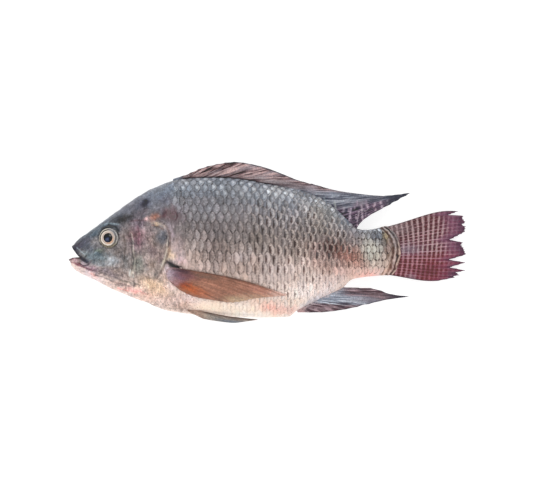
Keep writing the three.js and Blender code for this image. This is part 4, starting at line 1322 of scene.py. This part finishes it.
def side_fin_colour(along, up, ray, reach, between):
    streak = uneven(ray * 46, reach * 2.5, 1, 81)
    colour = shades(smooth_step(-0.6, 0.6, uneven(along, up, 3, 84)), (136, 97, 82), (160, 114, 96))
    colour = with_patches(colour, along, up, SIDE_FIN_PATCHES)
    colour = colour * (1 + 0.2 * streak * smooth_step(0.12, 0.3, reach))[..., None]
    dark = smooth_step(0.25, 0.55, uneven(ray * 30, reach * 3, 1, 87)) * smooth_step(0.15, 0.4, reach)
    colour = blot(colour, 0.5 * dark, (96, 68, 58))
    thin = smooth_step(0.8, 1, reach) * bell(ray - 0.36, 0.2)
    colour = blot(colour, 0.75 * thin * (0.8 + 0.6 * uneven(along, up, 1, 89)), (206, 184, 156))
    top_edge = smooth_step(0.07, 0, ray) * smooth_step(0.05, 0.2, reach) * smooth_step(0.95, 0.75, reach)
    top_edge = top_edge * np.clip(0.75 + 1.2 * uneven(along, up, 3, 93), 0, 1)
    colour = blot(colour, 0.75 * top_edge, (74, 52, 46))
    tip = smooth_step(48.5, 53, along) * np.clip(0.75 + 0.8 * streak, 0, 1)
    return blot(colour, 0.8 * tip, (222, 186, 174))


def belly_fin_colour(along, up, ray, reach, between):
    streak = uneven(ray * 20, reach * 3, 1, 91)
    colour = shades(smooth_step(-0.4, 0.4, streak), (126, 116, 110), (176, 164, 152))
    from_top = -17.1 - 0.159 * (along - 33) - 0.3 * bell(along - 40, 5) - up
    low = smooth_step(0.4, 1.4, from_top + 0.5 * streak) * smooth_step(34, 41, along)
    colour = blot(colour, 0.85 * low, (104, 114, 126))
    colour = blot(colour, 0.9 * bell(from_top, 0.35), (88, 70, 62))
    return blot(colour, 0.75 * smooth_step(36, 32, along), (184, 154, 138))


DORSAL_EDGE = [
    [26.2, 15.9], [29.4, 17], [33.4, 18.7], [37.4, 19.7], [41.5, 20.2], [45.5, 19.7], [49.5, 18.7],
    [53.5, 17.2], [57.5, 15.6], [61.6, 14.6], [65.6, 13.4], [69.6, 12.6], [77.6, 11.7], [82, 11.9],
    [86.3, 12.5],
]
DORSAL_REAR_EDGE = [[86.3, 12.5], [83.7, 11.1], [79.7, 8.9], [75.6, 6.9], [72.9, 4.9]]
DORSAL_FAN = [   # where the rays start: place among the rays, along
    [0, 26], [0.044, 26.3], [0.1, 26.9], [0.155, 28.6], [0.209, 31], [0.261, 33.5], [0.315, 36],
    [0.371, 38.5], [0.427, 41.5], [0.482, 45.5], [0.536, 50], [0.59, 55], [0.695, 63],
    [0.803, 68.5], [1, 72],
]
ANAL_EDGE = [[57.4, -17.6], [63.6, -17.6], [69.6, -16.85], [75.6, -15.5], [79.7, -14.5], [85.8, -13.65]]
ANAL_REAR_EDGE = [[85.8, -13.65], [81.4, -13.1], [78.9, -12.3], [76.8, -11.6], [74, -11.4], [69.6, -11.4]]
ANAL_FAN = [   # the same for the fin behind the vent
    [0, 57.2], [0.156, 58], [0.309, 60], [0.463, 62], [0.569, 63.5], [0.679, 64.8],
    [0.82, 66.2], [0.9, 66.9], [1, 67.6],
]
TAIL_ROOT = [[78.2, 3.55], [80.6, -2], [78.6, -8]]
TAIL_EDGE = [   # tips and notches of the torn rear edge: place among the rays, along, up
    [0, 98.1, 7.8], [0.06, 95.6, 6.9], [0.085, 99.4, 6.7], [0.125, 99.1, 6.1], [0.185, 99.9, 5],
    [0.225, 98.9, 4.4], [0.245, 99.9, 4], [0.33, 99.7, 2.6], [0.42, 95.9, 0.6], [0.45, 99.2, 0],
    [0.49, 98.8, -0.7], [0.53, 99.4, -1.5], [0.61, 100, -3.1], [0.67, 95.7, -4.4], [0.72, 100, -5.1],
    [0.78, 95.9, -6.3], [0.83, 100, -7.1], [0.865, 97.5, -7.6], [0.9, 98.4, -8.3], [0.93, 97, -8.5],
    [0.95, 97.1, -8.9], [1, 93, -9.7],
]
PECTORAL_ROOT = [[25.6, -6.1], [24.2, -6.8], [24.4, -8.6], [25.6, -10]]
PECTORAL_EDGE = [
    [54.8, -13.3], [50.3, -13.7], [46.5, -14.1], [43.6, -14.8], [40.7, -15.2], [36.7, -14.6],
    [31.3, -13.6], [28, -12],
]
PELVIC_ROOT = [[33, -17.1], [31.4, -17.1], [29.8, -17.3]]
PELVIC_EDGE = [[47.5, -19.4], [44.2, -19.9], [41.3, -20.2], [37.4, -19.8], [33.8, -19.2]]
FRINGE_DEPTH, FRINGE_POINTS = 0.35, 40   # of the tail's frayed edge


def tail_edge(ray):
    at, along, up = np.array(TAIL_EDGE).T
    fringe = FRINGE_DEPTH * np.abs(np.sin(np.pi * FRINGE_POINTS * ray))
    return np.stack([np.interp(ray, at, along) - fringe, np.interp(ray, at, up)], -1)


def tail_bow(ray, reach):
    """How far the tail's upper and lower sides curve outwards. The other bows do so for their fins."""
    return ((1 - ray) ** 3 - 0.45 * ray**3) * np.sin(np.pi * reach**1.9)


def pectoral_bow(ray, reach):
    return 1.05 * (1 - ray) ** 2 * np.sin(np.pi * reach**1.25)


def pelvic_bow(ray, reach):
    return -0.3 * (1 - ray) * np.sin(np.pi * reach)


def ragged(path, depth, points):
    """The path with shallow notches between the rays' tips."""
    def edge(ray):
        places = path(ray)
        inward = places.mean(0) - places
        inward /= np.maximum(np.linalg.norm(inward, axis=-1, keepdims=True), 1e-9)
        notch = np.abs(np.sin(np.pi * points * ray)) * smooth_step(0, 0.06, ray) * smooth_step(1, 0.94, ray)
        return places + inward * (depth * notch)[:, None]

    return edge


def build_fins():
    fin_sheet("back_fin", dict(
        root=fanned_root(back_line, DORSAL_FAN, -1), height=in_midplane,
        edge=ragged(path_through(DORSAL_EDGE, DORSAL_REAR_EDGE), 0.3, 34),
        columns=560, rows=44, rays=34, root_half=1.1, edge_half=0.35,
        colour=back_fin_colour, material=fin_material("dorsal_membrane"),
    ), ["dorsal_fin"])
    fin_sheet("vent_fin", dict(
        root=fanned_root(belly_line, ANAL_FAN, 1), height=in_midplane,
        edge=ragged(path_through(ANAL_EDGE, ANAL_REAR_EDGE), 0.2, 15),
        columns=300, rows=44, rays=15, root_half=1, edge_half=0.35,
        colour=vent_fin_colour, material=fin_material("anal_membrane"),
    ), ["anal_fin"])
    fin_sheet("tail", dict(
        root=path_through(TAIL_ROOT), edge=tail_edge, height=in_midplane, bow=tail_bow,
        columns=280, rows=120, rays=20, root_half=1.15, edge_half=0.3, colour=tail_colour,
        material=fin_material("tail_membrane"),
    ), ["tail_fin"])
    for side, word in ((1, "left"), (-1, "right")):
        fin_sheet(f"side_fin_{word}", dict(
            root=path_through(PECTORAL_ROOT), height=along_flank(side), bow=pectoral_bow,
            edge=ragged(path_through(PECTORAL_EDGE), 0.25, 16),
            columns=130, rows=130, rays=16, root_half=0.6, edge_half=0.25,
            colour=side_fin_colour, material=SIDE_MEMBRANE,
        ), [f"pectoral_fin_{word}"])
        fin_sheet(f"belly_fin_{word}", dict(
            root=path_through(PELVIC_ROOT), height=along_flank(side), edge=path_through(PELVIC_EDGE),
            columns=60, rows=60, rays=6, root_half=0.6, edge_half=0.3, bow=pelvic_bow,
            colour=belly_fin_colour, material=BELLY_MEMBRANE,
        ), [f"pelvic_fin_{word}"])


# ---- Eyes ------------------------------------------------------------------------------------

EYE_RINGS = [   # share of the eye's radius, colour
    [0.42, (24, 18, 24)], [0.46, (198, 178, 168)], [0.52, (222, 206, 196)], [0.57, (160, 142, 132)],
    [0.62, (222, 208, 196)], [0.72, (238, 228, 214)], [0.77, (132, 120, 110)], [0.82, (104, 94, 88)],
    [0.88, (204, 196, 184)], [0.94, (210, 204, 192)], [0.99, (104, 100, 96)], [1.05, (40, 40, 44)],
]
EYE_LENGTH_SHARE, EYE_HEIGHT_SHARE = 1.04, 1.06   # of the eye's radius
EYE_YAW, EYE_PITCH = 0.2, 0.12                    # how far the eye looks forward and up, in radians
EYE_AROUND, EYE_STEPS = 128, 96
PUPIL_MIDDLE = (36, 34, 42)
EYE_BACK = (60, 60, 60)


def eye_colour(x, y, z, angle):
    """sRGB colour on the eyeball at x (rearwards), y (towards the back) and z (outwards), from -1
    to 1, and at an angle round the pupil."""
    wobble = 0.035 * uneven(4 * np.cos(angle) + 9, 4 * np.sin(angle) + 9, 1, 101)
    r = np.where(z > 0, np.hypot(x - 0.04 * (1 - np.hypot(x, y)), y + 0.03), 2) + wobble
    colour = ramp(r, EYE_RINGS)
    cloud = smooth_step(0.42, 0.05, np.hypot(x + 0.05, y + 0.2)) * (0.75 + 0.5 * uneven(x * 5, y * 5, 1, 104))
    pupil = shades(np.clip(cloud, 0, 1), (20, 18, 26), (96, 104, 128))
    colour = mix(colour, pupil, smooth_step(0.48, 0.45, r)[..., None])
    right = smooth_step(0.2, 0.9, np.cos(angle - 0.1))
    upper_left = smooth_step(0.1, 0.8, np.cos(angle - 2.1))
    lid_shaded = smooth_step(0.6, 1, np.cos(angle - 0.95))
    lower_right = smooth_step(0.3, 1, np.cos(angle + 1))
    below = smooth_step(0.4, 1, np.cos(angle + 1.4))
    colour = blot(colour, 0.95 * upper_left * bell(r - 0.8, 0.055), (26, 20, 18))
    colour = blot(colour, 0.85 * right * bell(r - 0.76, 0.09), (118, 116, 118))
    # painted shade of the lid over the iris's upper right
    colour = blot(colour, 0.85 * lid_shaded * bell(r - 0.82, 0.14), (142, 142, 148))
    colour = blot(colour, 0.75 * lower_right * bell(r - 0.54, 0.07), (206, 156, 124))
    # painted highlight: a white arc on the iris's right rim
    colour = blot(colour, right * bell(r - 0.92, 0.06), (255, 255, 252))
    colour = blot(colour, 0.5 * below * smooth_step(0.78, 0.86, r), (192, 184, 148))
    return blot(colour, 0.8 * below * smooth_step(0.93, 0.98, r), (70, 66, 44))


def turned(angle, first, second):
    """A turn by an angle from the first axis towards the second."""
    turn = np.eye(3)
    turn[[first, second], [first, second]] = np.cos(angle)
    turn[[second, first], [first, second]] = np.sin(angle), -np.sin(angle)
    return turn


def build_eye(side, name, node):
    low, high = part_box(node)
    centre = np.array((low + high) / 2)
    centre[0] = (EYE_CENTRE[0] - ORIGIN) * UNIT
    angle = np.linspace(0, 2 * np.pi, EYE_AROUND, endpoint=False)
    polar = np.linspace(0, np.pi, EYE_STEPS + 1)[1:-1, None]
    x, y = np.sin(polar) * np.cos(angle), np.sin(polar) * np.sin(angle)
    z = np.cos(polar) + 0 * x
    half_size = np.array([EYE_RADIUS * EYE_LENGTH_SHARE, EYE_RADIUS * EYE_HEIGHT_SHARE, side * EYE_BULGE])
    sphere = np.concatenate([np.stack([x, y, z], -1).reshape(-1, 3), [[0, 0, 1], [0, 0, -1]]])
    about_y, about_x = turned(-side * EYE_YAW, 2, 0), turned(-side * EYE_PITCH, 1, 2)
    points = centre + (sphere * half_size @ about_y.T @ about_x.T) * MM
    colour = eye_colour(x, y, z, angle + 0 * x)
    tone = albedo(np.concatenate([colour.reshape(-1, 3), [PUPIL_MIDDLE, EYE_BACK]]))
    quads, _, _ = grid_quads(len(polar), EYE_AROUND, closed=True)
    fans = end_fans(len(polar), EYE_AROUND)
    if side < 0:
        quads, fans = quads[:, ::-1], fans[:, ::-1]
    front = polar < np.pi / 2
    disc = np.where(front, polar, np.pi - polar) / np.pi
    u = np.where(front, 0.25, 0.75) + 0.44 * disc * np.cos(angle)
    v = 0.5 + 0.9 * disc * np.sin(angle)
    flat = np.concatenate([np.stack([u, v], -1).reshape(-1, 2), [[0.25, 0.5], [0.75, 0.5]]])
    uv = np.concatenate([flat[quads].reshape(-1, 2), flat[fans].reshape(-1, 2)])
    return make_piece(name, points, quads, fans, uv, {"tone": tone}, EYE_SURFACE, [node])


# ---- Stage -----------------------------------------------------------------------------------

VIEW_WIDTH = 136.2       # hundredths of the length across the picture
VIEW_CENTRE = (50.75, 0.57)
VIEW_HEIGHT = 0.015      # of the point that the camera looks at, in metres
LENS = 500
SENSOR = 36
FAR_END = 100            # of what the camera sees, in metres
WORLD_STRENGTH = 0.88
FLOOR_HALF = 3           # metres
FLOOR_GREY = 0.4
FLOOR_GLOW = 0.75
LAMPS = [   # name, position, size in metres, watts
    ("key", (-0.25, 0.8, 1.5), 0.5, 4),
    ("edge", (0, 1.3, 0.3), 0.5, 1.2),
    ("fill", (0.3, -1.3, 0.8), 0.9, 4),
]


def build_camera():
    data = bpy.data.cameras.new("camera")
    data.lens, data.sensor_width = LENS, SENSOR
    data.clip_end = FAR_END
    camera = bpy.data.objects.new("camera", data)
    distance = VIEW_WIDTH * UNIT * LENS / SENSOR
    along, up = VIEW_CENTRE
    camera.location = ((along - ORIGIN) * UNIT, up * UNIT, VIEW_HEIGHT + distance)
    bpy.context.scene.collection.objects.link(camera)
    bpy.context.scene.camera = camera


def build_stage():
    mesh = bpy.data.meshes.new("floor")
    corners = [(x * FLOOR_HALF, y * FLOOR_HALF, 0) for x, y in ((-1, -1), (1, -1), (1, 1), (-1, 1))]
    mesh.from_pydata(corners, [], [(0, 1, 2, 3)])
    floor = bpy.data.objects.new("floor", mesh)
    white = Shader("white_floor", roughness=0.9, coat=0.0, subsurface=0.0)
    white.surface.inputs["Base Color"].default_value = (FLOOR_GREY, FLOOR_GREY, FLOOR_GREY, 1)
    white.surface.inputs["Emission Color"].default_value = (1, 1, 1, 1)
    white.surface.inputs["Emission Strength"].default_value = FLOOR_GLOW
    mesh.materials.append(white.material)
    bpy.context.scene.collection.objects.link(floor)
    world = bpy.data.worlds.new("studio")
    bpy.context.scene.world = world
    world.use_nodes = True
    background = world.node_tree.nodes["Background"]
    background.inputs["Color"].default_value = (1, 1, 1, 1)
    background.inputs["Strength"].default_value = WORLD_STRENGTH
    for name, position, size, power in LAMPS:
        light = bpy.data.lights.new(name, "AREA")
        light.shape, light.size, light.energy = "DISK", size, power
        lamp = bpy.data.objects.new(name, light)
        lamp.location = position
        lamp.rotation_euler = (-Vector(position)).to_track_quat("-Z", "Y").to_euler()
        bpy.context.scene.collection.objects.link(lamp)
    bpy.context.scene.view_settings.view_transform = "Standard"


# ---- The fish --------------------------------------------------------------------------------

build_camera()
SCALES = scale_material()
SIDE_MEMBRANE = fin_material("side_membrane")
BELLY_MEMBRANE = fin_material("belly_membrane")
EYE_SURFACE = eye_material()
body_grid = skin_grid()
build_skin(body_grid)
build_scales(body_grid, 1, "scales_left")
build_scales(body_grid, -1, "scales_right")
build_fins()
build_eye(1, "eyeball_left", "eye_left")
build_eye(-1, "eyeball_right", "eye_right")
build_stage()

bpy.context.view_layer.update()
